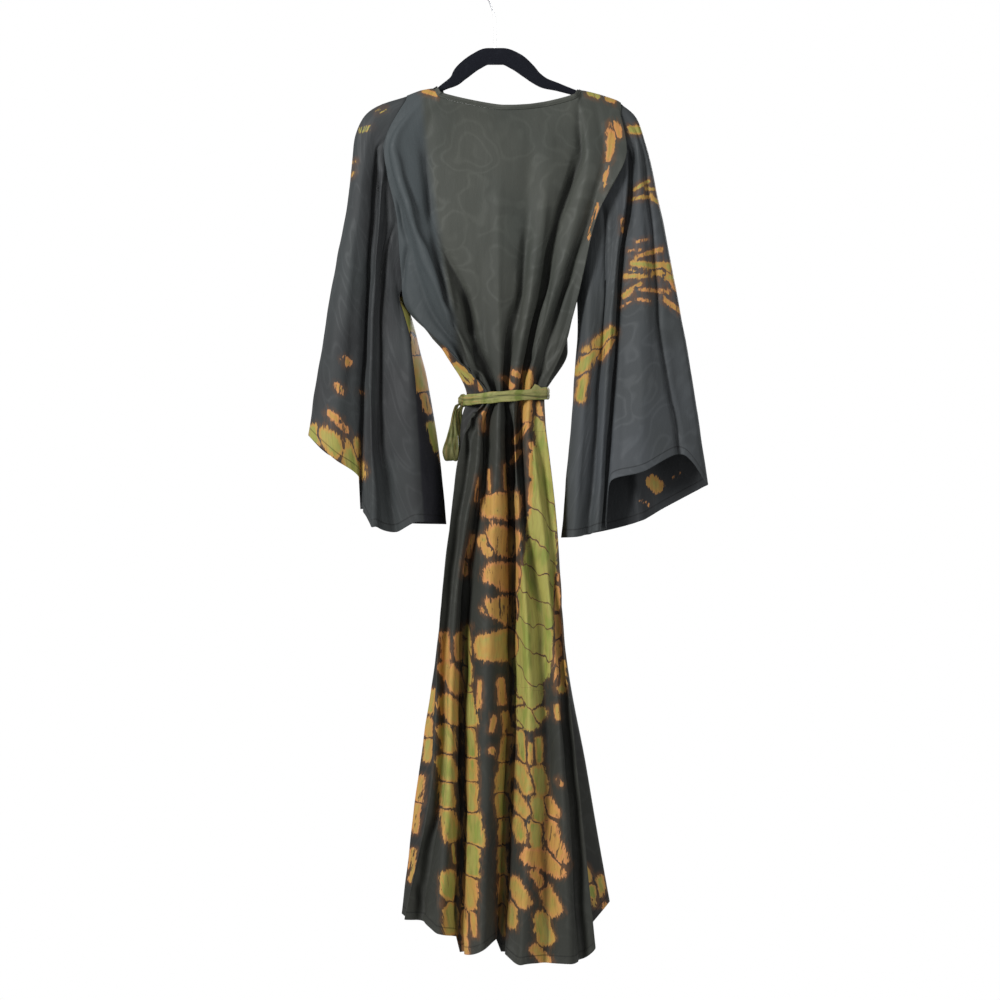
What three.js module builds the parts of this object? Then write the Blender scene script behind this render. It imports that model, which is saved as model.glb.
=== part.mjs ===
import * as THREE from 'three';

// A long wrap dress with bell sleeves and a tie belt, seen from the back on its hanger.
// Millimetres, +Z up, -Y towards the back of the garment, +X to the wearer's right.
// The origin is the inside top of the hook, where the hanger hangs.

const CLOTH = 1.6;
const ARMHOLE_STEP = 3.3; // from the bodice's edge out to the sleeve's middle surface
const SIDE_SEAM_STEP = 0.8; // the fronts' seam edges lie this far before the middle plane
const SEAM_STEP_FROM = 6; // station from which they do, below the armholes

// The ten named heights of the bodice and skirt.
const HEIGHTS = {
  upperBack: -280,
  chest: -395,
  underarm: -525,
  ribs: -610,
  waist: -684,
  belowBelt: -725,
  hip: -790,
  thigh: -900,
  knee: -1080,
  calf: -1300,
};
// Rows of the walls in each span between stations, on the body and down the sleeves.
const BODY_ROWS = [1, 1, 2, 2, 2, 2, 3, 2, 1, 2, 2, 3, 3];
const SLEEVE_ROWS = [3, 2, 2, 2, 3];
// Stations of the sleeves as shares of the length from armhole to hem.
const SLEEVE_STATIONS = [0, 0.04, 0.12, 0.3, 0.6, 1];
// How much of its move onto the armhole each of a sleeve's first rows makes.
const ARMHOLE_EASE = [1, 0.6, 0.25];
// Points across each gap between fold lines.
const BACK_POINTS = 3;
const FRONT_POINTS = 2;
const LEFT_SLEEVE_POINTS = 3;
const RIGHT_SLEEVE_POINTS = 2;

const HANGER_THICKNESS = 5;
const HANGER_BEVEL = 1.2;
const HANGER_DROP = 2.6; // from the cloth's middle down to the hanger
const WIRE_RADIUS = 1.6;
const HOOK_INNER_RADIUS = 16.5;
const BELT_HEIGHT = 15;
const BELT_THICKNESS = 3;
const BELT_CLEAR = 0.9;
const BELT_SLOPE = 0.078;
const BELT_BELOW = 2; // from the waist station down to the belt's middle
const BELT_LEVEL_AT = 15; // x at which it lies there
const BELT_MARGIN = 3; // the belt keeps clear of cloth this far above and below it too
const BELT_SIDES = 36;
const BAND_WIDTH = 8.5;
const BAND_ROW = 2; // row of the fronts' grids at which their bands begin
const SEAM_GAP = 0.6;
const CLEAR = 0.5;
// Points of the back's top edge between which the neck band runs.
const NECK = { from: 10, to: 27 };

// The fold lines of the back panel, from the wearer's left seam to the right one. Each has its
// height at the hem, and at the top edge where that isn't on the hanger, and x and how far it
// stands out to the back at fourteen stations: top edge, 1 mm and 7 mm below it, the ten named
// heights, and the hem.
const BACK_FOLDS = [
  {
    name: 'left seam', hem: -1536,
    x: [-147, -147, -148, -186, -163, -153, -74, -12, -38, -57, -71, -89, -99, -144],
    out: [0.6, 3.2, 6, 13, 14, 7, 2, 0.4, 0.4, 0.4, 0.4, 0.4, 0.4, 0.4],
  },
  {
    name: 'left edge ridge', hem: -1544,
    x: [-143, -143, -144, -183, -157, -146, -80, -16, -43, -62, -76, -94, -104, -150],
    out: [0.6, 3.2, 6, 14, 17, 14, 26, 26, 28, 32, 34, 38, 42, 44],
  },
  {
    name: 'left soft valley', hem: -1546,
    x: [-122, -122, -123, -177, -148, -118, -62, -13, -34, -46, -60, -80, -88, -126],
    out: [0.6, 3.2, 6, 17, 23, 24, 29, 24, 26, 30, 30, 32, 36, 38],
  },
  {
    name: 'left ridge', hem: -1566,
    x: [-104, -104, -106, -170, -137, -91, -50, -9, -25, -30, -50, -70, -76, -93],
    out: [0.6, 3.2, 6, 23, 36, 41, 38, 34, 40, 50, 54, 60, 66, 70],
  },
  {
    name: 'left valley', top: -191, hem: -1576,
    x: [-95, -95, -95, -117, -102, -50, -32, -2, -13, -17, -34, -54, -55, -60],
    out: [14, 14, 14, 20, 24, 26, 25, 25, 26, 28, 28, 30, 34, 38],
  },
  {
    name: 'centre ridge', top: -213, hem: -1595,
    x: [10, 10, 10, 14, 8, 6, 6, 6, 4, 2, -3, -13, -15, -24],
    out: [9, 9.2, 10, 27, 36, 40, 40, 37, 42, 52, 60, 68, 76, 84],
  },
  {
    name: 'centre valley', top: -212, hem: -1579,
    x: [45, 45, 45, 56, 51, 37, 20, 15, 19, 22, 28, 27, 25, 8],
    out: [9, 9.2, 10, 25, 30, 29, 27, 25, 24, 24, 24, 26, 28, 32],
  },
  {
    name: 'right of centre ridge', top: -208, hem: -1610,
    x: [80, 80, 80, 90, 74, 56, 40, 29, 29, 32, 38, 52, 55, 42],
    out: [9, 9.2, 10, 27, 36, 41, 40, 36, 42, 52, 60, 70, 80, 90],
  },
  {
    name: 'right deep valley', top: -193, hem: -1613,
    x: [134, 134, 134, 136, 102, 71, 54, 43, 38, 42, 50, 74, 82, 80],
    out: [12, 12, 12, 20, 22, 23, 24, 25, 30, 38, 44, 52, 60, 66],
  },
  {
    name: 'right ridge', hem: -1613,
    x: [142, 142, 142, 155, 130, 92, 66, 54, 54, 62, 76, 94, 108, 122],
    out: [0.6, 3.2, 6, 26, 36, 40, 39, 35, 42, 52, 58, 66, 76, 84],
  },
  {
    name: 'right soft valley', hem: -1607,
    x: [165, 165, 165, 178, 150, 108, 80, 65, 66, 73, 88, 103, 121, 142],
    out: [0.6, 3.2, 6, 23, 27, 29, 30, 26, 32, 40, 44, 50, 56, 62],
  },
  {
    name: 'right edge ridge', hem: -1588,
    x: [200, 200, 200, 215, 164, 134, 110, 79, 80, 88, 100, 111, 133, 163],
    out: [0.6, 3.2, 6, 24, 34, 36, 34, 28, 34, 42, 46, 52, 60, 64],
  },
  {
    name: 'right seam', hem: -1576,
    x: [206, 206, 206.5, 205, 152, 122, 105, 76, 77, 85, 97, 107, 129, 157],
    out: [0.6, 3.2, 6, 12, 12, 7, 2, 0.4, 0.4, 0.4, 0.4, 0.4, 0.4, 0.4],
  },
];

// The two fronts, from the same side seams. Hem is the height at the hem, and sideHem at its
// side. Edge is the free edge of the wrap, side is where the cloth bulges past the seam, rest is how far its middle lies to the front, and swing is how
// high its folds rise, all at the fourteen stations.
const FRONTS = {
  left: {
    hem: -1548, sideHem: -1540,
    edge: [-97, -97, -96, -64, -25, 13, 35, 48, 52, 60, 70, 85, 100, 120],
    side: [-140, -140, -141, -178, -160, -148, -84, -48, -56, -62, -74, -95, -126, -156],
    sideOut: [0.6, 3.2, 6, 15, 16, 14, 12, 9, 9, 10, 12, 15, 18, 20],
    rest: [0.6, 3.2, 6, 20, 23, 22, 20, 14, 15, 19, 26, 33, 40, 44],
    swing: [0, 0, 0, 2, 4, 5, 4, 3, 3, 5, 7, 9, 10, 11],
  },
  right: {
    hem: -1556, sideHem: -1521,
    edge: [137, 137, 136, 104, 58, 12, -18, -34, -38, -48, -60, -76, -86, -100],
    side: [200, 200, 200, 198, 144, 117, 119, 79, 81, 89, 101, 112, 149, 188],
    sideOut: [0.6, 3.2, 6, 17, 20, 20, 20, 16, 16, 18, 22, 26, 28, 30],
    rest: [0.6, 3.2, 6, 20, 30, 36, 38, 31, 35, 44, 56, 66, 76, 82],
    swing: [0, 0, 0, 2, 4, 5, 4, 3, 3, 5, 7, 9, 10, 11],
  },
};
const FRONT_FOLDS = [
  { across: 0.14, rise: -0.3 },
  { across: 0.27, rise: 1 },
  { across: 0.4, rise: -0.8 },
  { across: 0.53, rise: 0.7 },
  { across: 0.66, rise: -1 },
  { across: 0.8, rise: 0.9 },
  { across: 0.91, rise: -0.5 },
];

// The fold lines of the sleeves, round the tube. Each starts on the armhole at height top and
// ends at the hem, with x and how far it stands out to the back at the five later stations.
const LEFT_SLEEVE_FOLDS = [
  {
    name: 'crest', top: -189, hem: -749,
    x: [-205, -232, -243, -274, -310], out: [0, 1, 2, 4, 4],
  },
  {
    name: 'back of crest', top: -200, hem: -753,
    x: [-206, -230, -241, -271, -306], out: [7, 9, 14, 18, 20],
  },
  {
    name: 'outer flute', top: -229, hem: -788,
    x: [-202, -214, -226, -246, -266], out: [14, 20, 30, 38, 42],
  },
  {
    name: 'first valley', top: -259, hem: -821,
    x: [-197, -200, -206, -214, -223], out: [14, 15, 17, 20, 24],
  },
  {
    name: 'middle flute', top: -295, hem: -897,
    x: [-188, -192, -198, -206, -200], out: [17, 24, 33, 40, 44],
  },
  {
    name: 'second valley', top: -394, hem: -909,
    x: [-172, -181, -189, -191, -167], out: [14, 17, 22, 25, 27],
  },
  {
    name: 'inner flute', top: -505, hem: -892,
    x: [-160, -156, -144, -137, -127], out: [10, 20, 32, 38, 40],
  },
  {
    name: 'front inner edge', top: -505, hem: -896,
    x: [-159, -142, -122, -99, -82], out: [-8, -9, -11, -12, -10],
  },
  {
    name: 'front inner flute', top: -430, hem: -895,
    x: [-164, -165, -162, -152, -137], out: [-13, -18, -24, -28, -28],
  },
  {
    name: 'front valley', top: -310, hem: -880,
    x: [-184, -187, -190, -188, -182], out: [-12, -14, -18, -20, -20],
  },
  {
    name: 'front outer flute', top: -262, hem: -830,
    x: [-200, -208, -216, -228, -238], out: [-12, -18, -26, -32, -34],
  },
  {
    name: 'front of crest', top: -200, hem: -762,
    x: [-206, -229, -239, -266, -299], out: [-7, -9, -12, -14, -14],
  },
];
const RIGHT_SLEEVE_FOLDS = [
  {
    name: 'crest', top: -200, hem: -830,
    x: [231, 249, 274, 310, 350], out: [0, 1, 2, 4, 4],
  },
  {
    name: 'front of crest', top: -211, hem: -836,
    x: [229, 245, 268, 302, 340], out: [-7, -9, -12, -13, -12],
  },
  {
    name: 'front outer flute', top: -262, hem: -869,
    x: [226, 234, 247, 263, 279], out: [-12, -19, -26, -30, -30],
  },
  {
    name: 'front valley', top: -300, hem: -891,
    x: [209, 213, 219, 227, 238], out: [-12, -14, -16, -16, -14],
  },
  {
    name: 'front inner flute', top: -380, hem: -907,
    x: [178, 185, 192, 192, 180], out: [-14, -20, -26, -28, -26],
  },
  {
    name: 'front inner edge', top: -480, hem: -915,
    x: [145, 150, 154, 150, 134], out: [-11, -15, -20, -21, -16],
  },
  {
    name: 'inner edge', top: -512, hem: -918,
    x: [134, 135, 131, 122, 107], out: [0, 3, 8, 12, 10],
  },
  {
    name: 'inner flute', top: -440, hem: -917,
    x: [150, 152, 152, 145, 128], out: [14, 20, 32, 38, 38],
  },
  {
    name: 'soft valley', top: -358, hem: -913,
    x: [178, 181, 179, 168, 151], out: [14, 17, 21, 24, 25],
  },
  {
    name: 'second flute', top: -290, hem: -907,
    x: [209, 210, 197, 182, 167], out: [14, 20, 29, 35, 36],
  },
  {
    name: 'first valley', top: -262, hem: -905,
    x: [219, 221, 209, 195, 177], out: [12, 13, 15, 18, 20],
  },
  {
    name: 'lifted corner', top: -250, hem: -825,
    x: [223, 228, 217, 206, 188], out: [12, 15, 21, 27, 32],
  },
  {
    name: 'wide flute', top: -237, hem: -810,
    x: [227, 236, 241, 243, 240], out: [13, 21, 31, 40, 50],
  },
  {
    name: 'outer valley', top: -222, hem: -780,
    x: [230, 243, 256, 268, 303], out: [10, 14, 19, 24, 32],
  },
  {
    name: 'back of crest', top: -210, hem: -824,
    x: [231, 248, 271, 306, 344], out: [7, 10, 14, 17, 16],
  },
];

// The hanger from tip to tip: x, its top and its bottom edge. Under the cloth the top edge
// lies HANGER_DROP below the shoulder line.
const HANGER_ROWS = [
  { x: -203, top: -214.5, bottom: -222 },
  { x: -175, top: -203.5, bottom: -213 },
  { x: -147, top: -191.5, bottom: -201 },
  { x: -122, top: -182.5, bottom: -193 },
  { x: -104, top: -179.8, bottom: -188 },
  { x: -84, top: -167, bottom: -179 },
  { x: -68, top: -154, bottom: -173 },
  { x: -57, top: -138, bottom: -164 },
  { x: -34, top: -119, bottom: -147 },
  { x: -13, top: -110, bottom: -138 },
  { x: 11, top: -110, bottom: -138 },
  { x: 33, top: -118, bottom: -147 },
  { x: 52, top: -134, bottom: -160 },
  { x: 66, top: -149, bottom: -170 },
  { x: 80, top: -159, bottom: -177 },
  { x: 100, top: -167, bottom: -181 },
  { x: 142, top: -183, bottom: -192 },
  { x: 165, top: -188, bottom: -197 },
  { x: 200, top: -199.5, bottom: -208 },
  { x: 211, top: -206, bottom: -213 },
];
// The hook's stem from its foot up to where the loop begins.
const STEM = [
  { x: -1.6, z: -109.6 },
  { x: -1.6, z: -76 },
  { x: -3, z: -56 },
  { x: -6.8, z: -44 },
];
const LOOP = { from: 225, to: -15, step: 15 }; // degrees

// The belt's ties, from the knot on. Seat is how far off the knot's surface the middle of the
// end lies, so that its corners clear it. Each row is a point of the ribbon's middle with its half
// width and the direction its width points in, as an angle from +X towards +Y.
const TIES = {
  belt_loop_left: {
    seat: 2.5,
    rows: [
      { x: -66, y: 30, z: -704, half: 5, turn: 40 },
      { x: -73, y: 14, z: -722, half: 7, turn: 25 },
      { x: -77, y: 3, z: -750, half: 9.5, turn: 12 },
      { x: -78, y: 1, z: -776, half: 9.5, turn: 8 },
      { x: -76, y: 9, z: -790, half: 9, turn: 8 },
      { x: -74, y: 19, z: -778, half: 8, turn: 12 },
      { x: -72, y: 32, z: -744, half: 7, turn: 25 },
    ],
  },
  belt_loop_right: {
    seat: 2.5,
    rows: [
      { x: -28, y: 60, z: -704, half: 6, turn: 5 },
      { x: -16, y: 63, z: -730, half: 12, turn: 0 },
      { x: -12, y: 72, z: -760, half: 13, turn: 0 },
      { x: -16, y: 82, z: -768, half: 12, turn: 0 },
      { x: -22, y: 82, z: -748, half: 10, turn: 5 },
      { x: -30, y: 76, z: -716, half: 6, turn: 10 },
    ],
  },
  belt_tail_left: {
    seat: 1.5,
    rows: [
      { x: -62, y: 52, z: -714, half: 6, turn: 10 },
      { x: -53, y: 66, z: -770, half: 9, turn: 5 },
      { x: -51, y: 80, z: -870, half: 15, turn: -5 },
      { x: -50, y: 88, z: -980, half: 15, turn: 8 },
      { x: -54, y: 94, z: -1090, half: 14, turn: 0 },
    ],
  },
  belt_tail_right: {
    seat: 0.8,
    rows: [
      { x: -42, y: 64, z: -714, half: 5, turn: 5 },
      { x: -35, y: 77, z: -790, half: 8, turn: 0 },
      { x: -22, y: 90, z: -890, half: 14, turn: 8 },
      { x: -20, y: 98, z: -1010, half: 15, turn: -4 },
      { x: -12, y: 103, z: -1150, half: 14, turn: 4 },
    ],
  },
};
const KNOT = { bearing: 130, wide: 24, deep: 16, high: 21 };
const TIE_THICKNESS = 2.4;
const TIE_START = 2.5; // half width of a tie where it leaves the knot

const charcoal = { color: 0x3a3c38, roughness: 0.6, metalness: 0 };
const olive = { color: 0x7d8250, roughness: 0.6, metalness: 0 };
const flock = { color: 0x1c1e26, roughness: 0.95, metalness: 0 };
const chrome = { color: 0xb8bcc0, roughness: 0.25, metalness: 1 };

// Value of a smooth curve through evenly ranked values, with no overshoot between them.
function smooth(values, t) {
  const last = values.length - 1;
  const i = Math.min(Math.floor(t), last - 1);
  const f = t - i;
  const step = (k) => values[k + 1] - values[k];
  const slope = (k) => {
    if (k === 0) return step(0);
    if (k === last) return step(last - 1);
    const before = step(k - 1);
    const after = step(k);
    return before * after <= 0 ? 0 : (2 * before * after) / (before + after);
  };
  const f2 = f * f;
  const f3 = f2 * f;
  return (
    values[i] * (2 * f3 - 3 * f2 + 1) +
    slope(i) * (f3 - 2 * f2 + f) +
    values[i + 1] * (3 * f2 - 2 * f3) +
    slope(i + 1) * (f3 - f2)
  );
}

// Ranks of the rows that a table of row counts asks for, such as 0, 0.5, 1, 2 for [2, 1].
function ranks(counts) {
  const out = [0];
  counts.forEach((count, span) => {
    for (let k = 1; k <= count; k += 1) out.push(span + k / count);
  });
  return out;
}

// A point on a fold line, at a rank down its stations.
function pointOnLine(line, rank) {
  return [smooth(line.x, rank), smooth(line.y, rank), smooth(line.z, rank)];
}

// Middle surface through fold lines: rows down, points across. A closed one runs round a tube.
function surfaceThrough(lines, rowRanks, perGap, closed) {
  return rowRanks.map((rank) => {
    const knots = lines.map((line) => pointOnLine(line, rank));
    const row = [];
    const gaps = closed ? knots.length : knots.length - 1;
    const around = closed
      ? [...knots.slice(-3), ...knots, ...knots.slice(0, 3)]
      : knots;
    const start = closed ? 3 : 0;
    const total = gaps * perGap + (closed ? 0 : 1);
    for (let k = 0; k < total; k += 1) {
      const t = start + k / perGap;
      row.push([0, 1, 2].map((axis) => smooth(around.map((p) => p[axis]), t)));
    }
    return row;
  });
}

function pickNeighbour(row, index, closed) {
  const n = row.length;
  return closed ? row[(index + n) % n] : row[Math.max(0, Math.min(n - 1, index))];
}

// Unit normals of a grid, from its neighbours down and across.
function gridNormals(grid, closedAcross, closedDown) {
  return grid.map((row, i) =>
    row.map((_, j) => {
      const above = pickNeighbour(grid, i - 1, closedDown)[j];
      const below = pickNeighbour(grid, i + 1, closedDown)[j];
      const left = pickNeighbour(row, j - 1, closedAcross);
      const right = pickNeighbour(row, j + 1, closedAcross);
      const down = new THREE.Vector3(...below).sub(new THREE.Vector3(...above)).normalize();
      const across = new THREE.Vector3(...right).sub(new THREE.Vector3(...left)).normalize();
      return down.cross(across).normalize();
    }),
  );
}

// A closed wall of cloth on a middle surface: two skins and the rims between them.
function wall(grid, thickness, closedAcross = false, closedDown = false) {
  const normals = gridNormals(grid, closedAcross, closedDown);
  const rows = grid.length;
  const columns = grid[0].length;
  const positions = [];
  [0.5, -0.5].forEach((side) => {
    grid.forEach((row, i) =>
      row.forEach((p, j) => {
        const n = normals[i][j];
        const off = side * thickness;
        positions.push(p[0] + n.x * off, p[1] + n.y * off, p[2] + n.z * off);
      }),
    );
  });
  const index = [];
  const at = (skin, i, j) => skin * rows * columns + (i % rows) * columns + (j % columns);
  const quad = (a, b, c, d) => index.push(a, b, c, a, c, d);
  const rowCells = closedDown ? rows : rows - 1;
  const columnCells = closedAcross ? columns : columns - 1;
  for (let i = 0; i < rowCells; i += 1) {
    for (let j = 0; j < columnCells; j += 1) {
      quad(at(0, i, j), at(0, i + 1, j), at(0, i + 1, j + 1), at(0, i, j + 1));
      quad(at(1, i, j), at(1, i, j + 1), at(1, i + 1, j + 1), at(1, i + 1, j));
    }
  }
  if (!closedDown) {
    for (let j = 0; j < columnCells; j += 1) {
      quad(at(0, 0, j), at(0, 0, j + 1), at(1, 0, j + 1), at(1, 0, j));
      const e = rows - 1;
      quad(at(0, e, j), at(1, e, j), at(1, e, j + 1), at(0, e, j + 1));
    }
  }
  if (!closedAcross) {
    for (let i = 0; i < rowCells; i += 1) {
      quad(at(0, i, 0), at(1, i, 0), at(1, i + 1, 0), at(0, i + 1, 0));
      const e = columns - 1;
      quad(at(0, i, e), at(0, i + 1, e), at(1, i + 1, e), at(1, i, e));
    }
  }
  const geometry = new THREE.BufferGeometry();
  geometry.setAttribute('position', new THREE.Float32BufferAttribute(positions, 3));
  geometry.setIndex(index);
  geometry.computeVertexNormals();
  return geometry;
}

const group = new THREE.Group();

function add(name, geometry, look) {
  const mesh = new THREE.Mesh(geometry, new THREE.MeshStandardMaterial({ ...look, name }));
  mesh.name = name;
  group.add(mesh);
  return mesh;
}

// Height of the cloth's middle where it lies on the hanger.
function clothOverHanger(x) {
  const k = Math.max(1, HANGER_ROWS.findIndex((row) => row.x >= x));
  const [a, b] = [HANGER_ROWS[k - 1], HANGER_ROWS[k]];
  return a.top + ((b.top - a.top) * (x - a.x)) / (b.x - a.x) + HANGER_DROP;
}

function bodyHeights(top, hem) {
  return [top, top - 1.2, top - 7, ...Object.values(HEIGHTS), hem];
}

// Back panel
const backLines = BACK_FOLDS.map((fold) => ({
  x: fold.x,
  y: fold.out.map((out) => -out),
  z: bodyHeights(fold.top ?? clothOverHanger(fold.x[0]), fold.hem),
}));
const bodyRanks = ranks(BODY_ROWS);
const backGrid = surfaceThrough(backLines, bodyRanks, BACK_POINTS, false);
add('back', wall(backGrid, CLOTH), charcoal);

// The fronts share the back's side seams and lie to the front of them.
function frontLines(front, seam, sign) {
  const line = (x, y, hem = front.hem) => ({
    x, y, z: bodyHeights(clothOverHanger(x[0]), hem),
  });
  const mix = (across) => front.side.map((side, k) => side + (front.edge[k] - side) * across);
  const lines = [
    line(seam.x, seam.y.map((y, k) => (k >= SEAM_STEP_FROM ? SIDE_SEAM_STEP - y : -y))),
    line(front.side, front.sideOut, front.sideHem),
    ...FRONT_FOLDS.map(({ across, rise }) =>
      line(mix(across), front.rest.map((rest, k) => rest + front.swing[k] * rise)),
    ),
    line(front.edge, front.rest),
  ];
  return sign > 0 ? lines : lines.reverse();
}
const leftFront = frontLines(FRONTS.left, backLines[0], 1);
const rightFront = frontLines(FRONTS.right, backLines[backLines.length - 1], -1);
const frontGrids = {
  left: surfaceThrough(leftFront, bodyRanks, FRONT_POINTS, false),
  right: surfaceThrough(rightFront, bodyRanks, FRONT_POINTS, false),
};
add('front_left', wall(frontGrids.left, CLOTH), charcoal);
add('front_right', wall(frontGrids.right, CLOTH), charcoal);

// The back's seam edges, as columns of its grid.
const backEdges = {
  left: backGrid.map((row) => row[0]),
  right: backGrid.map((row) => row[row.length - 1]),
};

// The point of an armhole's edge at a height.
function armholePoint(edge, height) {
  const k = Math.max(1, edge.findIndex((point) => point[2] <= height));
  const [a, b] = [edge[k - 1], edge[k]];
  const share = Math.min(1, Math.max(0, (height - a[2]) / (b[2] - a[2])));
  return { x: a[0] + (b[0] - a[0]) * share, out: -(a[1] + (b[1] - a[1]) * share) };
}

// Bell sleeves: closed tubes from the armhole to the open cuff.
function sleeveLines(folds, edge, sign) {
  return folds.map((fold) => {
    const start = armholePoint(edge, fold.top);
    const crest = fold.name === 'crest' || fold.name === 'inner edge';
    const face = fold.out[1] < 0 ? -1 : 1;
    return {
      x: [start.x + sign * ARMHOLE_STEP, ...fold.x],
      y: [crest ? 0 : -face * start.out, ...fold.out.map((out) => -out)],
      z: SLEEVE_STATIONS.map((t) => fold.top + (fold.hem - fold.top) * t),
    };
  });
}
const sleeveRanks = ranks(SLEEVE_ROWS);

// A sleeve's grid, with its top edge moved onto the armhole and the rows below it eased after.
function sleeveGrid(folds, edge, sign, perFold) {
  const grid = surfaceThrough(sleeveLines(folds, edge, sign), sleeveRanks, perFold, true);
  const moves = grid[0].map(([x, y, z]) => {
    const hole = armholePoint(edge, z);
    return [hole.x + sign * ARMHOLE_STEP - x, Math.abs(y) > 1 ? Math.sign(y) * hole.out - y : 0];
  });
  ARMHOLE_EASE.forEach((share, i) =>
    grid[i].forEach((point, j) => {
      point[0] += share * moves[j][0];
      point[1] += share * moves[j][1];
    }),
  );
  return grid;
}
const sleeveGrids = {
  left: sleeveGrid(LEFT_SLEEVE_FOLDS, backEdges.left, -1, LEFT_SLEEVE_POINTS),
  right: sleeveGrid(RIGHT_SLEEVE_FOLDS, backEdges.right, 1, RIGHT_SLEEVE_POINTS),
};
add('sleeve_left', wall(sleeveGrids.left, CLOTH, true), charcoal);
add('sleeve_right', wall(sleeveGrids.right, CLOTH, true), charcoal);

// Bands along the back neck and down the free edges of the fronts, each from its panel's edge
// outwards.
function bandBeside(edge, outwards) {
  return edge.map((point, k) => {
    const out = new THREE.Vector3(...outwards(k)).normalize();
    return [SEAM_GAP, SEAM_GAP + BAND_WIDTH / 2, SEAM_GAP + BAND_WIDTH].map((far) => [
      point[0] + out.x * far,
      point[1] + out.y * far,
      point[2] + out.z * far,
    ]);
  });
}

const neckEdge = backGrid[0].slice(NECK.from, NECK.to);
function awayFromNeck(k) {
  const before = neckEdge[Math.max(0, k - 1)];
  const after = neckEdge[Math.min(neckEdge.length - 1, k + 1)];
  return [before[2] - after[2], -1, after[0] - before[0]];
}
add('neck_band', wall(bandBeside(neckEdge, awayFromNeck), CLOTH), charcoal);

function frontBand(grid, last) {
  const rows = grid.slice(BAND_ROW);
  const end = last ? rows[0].length - 1 : 0;
  const beside = last ? end - 1 : 1;
  const edge = rows.map((row) => row[end]);
  return bandBeside(edge, (k) => {
    const side = rows[k][beside];
    return [edge[k][0] - side[0], edge[k][1] - side[1], 0];
  });
}
const bandGrids = {
  left: frontBand(frontGrids.left, true),
  right: frontBand(frontGrids.right, false),
};
add('front_band_left', wall(bandGrids.left, CLOTH), charcoal);
add('front_band_right', wall(bandGrids.right, CLOTH), charcoal);

// Belt: a band round everything at the waist, tight on it but clear of it.
const beltHeight = (x) => HEIGHTS.waist - BELT_BELOW + BELT_SLOPE * (x - BELT_LEVEL_AT);
const inBelt = (p) => Math.abs(p[2] - beltHeight(p[0])) < BELT_HEIGHT / 2 + BELT_MARGIN;
const atWaist = [backGrid, frontGrids.left, frontGrids.right, bandGrids.left, bandGrids.right]
  .flatMap((grid) => grid.slice(1).flatMap((row, i) =>
    [0, 0.2, 0.4, 0.6, 0.8, 1].flatMap((share) =>
      row.map((p, j) => p.map((v, axis) => v + (grid[i][j][axis] - v) * share)),
    ),
  ))
  .filter(inBelt);
function beltSupport(bearing) {
  const [c, s] = [Math.cos(bearing), Math.sin(bearing)];
  const reach = Math.max(...atWaist.map((p) => p[0] * c + p[1] * s));
  return reach + CLOTH / 2 + BELT_CLEAR + BELT_THICKNESS / 2;
}
const bearings = Array.from({ length: BELT_SIDES }, (_, k) => (k * Math.PI * 2) / BELT_SIDES);
const supports = bearings.map(beltSupport);
const beltGrid = bearings.map((bearing, k) => {
  const turn = (Math.PI * 2) / BELT_SIDES;
  const [h0, h1] = [supports[k], supports[(k + 1) % BELT_SIDES]];
  const along = (h1 - h0 * Math.cos(turn)) / Math.sin(turn);
  const x = h0 * Math.cos(bearing) - along * Math.sin(bearing);
  const y = h0 * Math.sin(bearing) + along * Math.cos(bearing);
  const z = beltHeight(x);
  return [0.5, 0, -0.5].map((level) => [x, y, z + level * BELT_HEIGHT]);
});
add('belt', wall(beltGrid, BELT_THICKNESS, false, true), olive);

// Knot on the belt, at the front of the wearer's left side, and the ties that leave it.
const knotBearing = THREE.MathUtils.degToRad(KNOT.bearing);
const knotStep = Math.round((knotBearing / (Math.PI * 2)) * BELT_SIDES);
const knotAt = new THREE.Vector3(...beltGrid[knotStep][1]).add(
  new THREE.Vector3(Math.cos(knotBearing), Math.sin(knotBearing), 0).multiplyScalar(
    BELT_THICKNESS / 2 + KNOT.deep / 2 + CLEAR,
  ),
);
function knot() {
  const geometry = new THREE.SphereGeometry(0.5, 16, 12);
  geometry.scale(KNOT.deep, KNOT.wide, KNOT.high);
  geometry.rotateZ(knotBearing);
  geometry.translate(knotAt.x, knotAt.y, knotAt.z);
  return geometry;
}
add('belt_knot', knot(), olive);

// Distance from the knot's middle to its surface in a direction.
function knotRadius(direction) {
  const local = direction.clone().applyAxisAngle(new THREE.Vector3(0, 0, 1), -knotBearing);
  const parts = [local.x / KNOT.deep, local.y / KNOT.wide, local.z / KNOT.high];
  return 0.5 / Math.hypot(...parts);
}

function tie({ seat, rows }) {
  const first = rows[0];
  const away = new THREE.Vector3(first.x, first.y, first.z).sub(knotAt).normalize();
  const start = knotAt.clone().addScaledVector(away, knotRadius(away) + seat);
  const all = [{ ...first, x: start.x, y: start.y, z: start.z, half: TIE_START }, ...rows];
  const column = (name, t) => smooth(all.map((row) => row[name]), t);
  const grid = ranks(all.slice(1).map(() => 3)).map((t) => {
    const turn = THREE.MathUtils.degToRad(column('turn', t));
    const half = column('half', t);
    return [-1, 0, 1].map((side) => [
      column('x', t) + side * half * Math.cos(turn),
      column('y', t) + side * half * Math.sin(turn),
      column('z', t),
    ]);
  });
  return wall(grid, TIE_THICKNESS);
}
Object.entries(TIES).forEach(([name, ribbon]) => add(name, tie(ribbon), olive));

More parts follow.
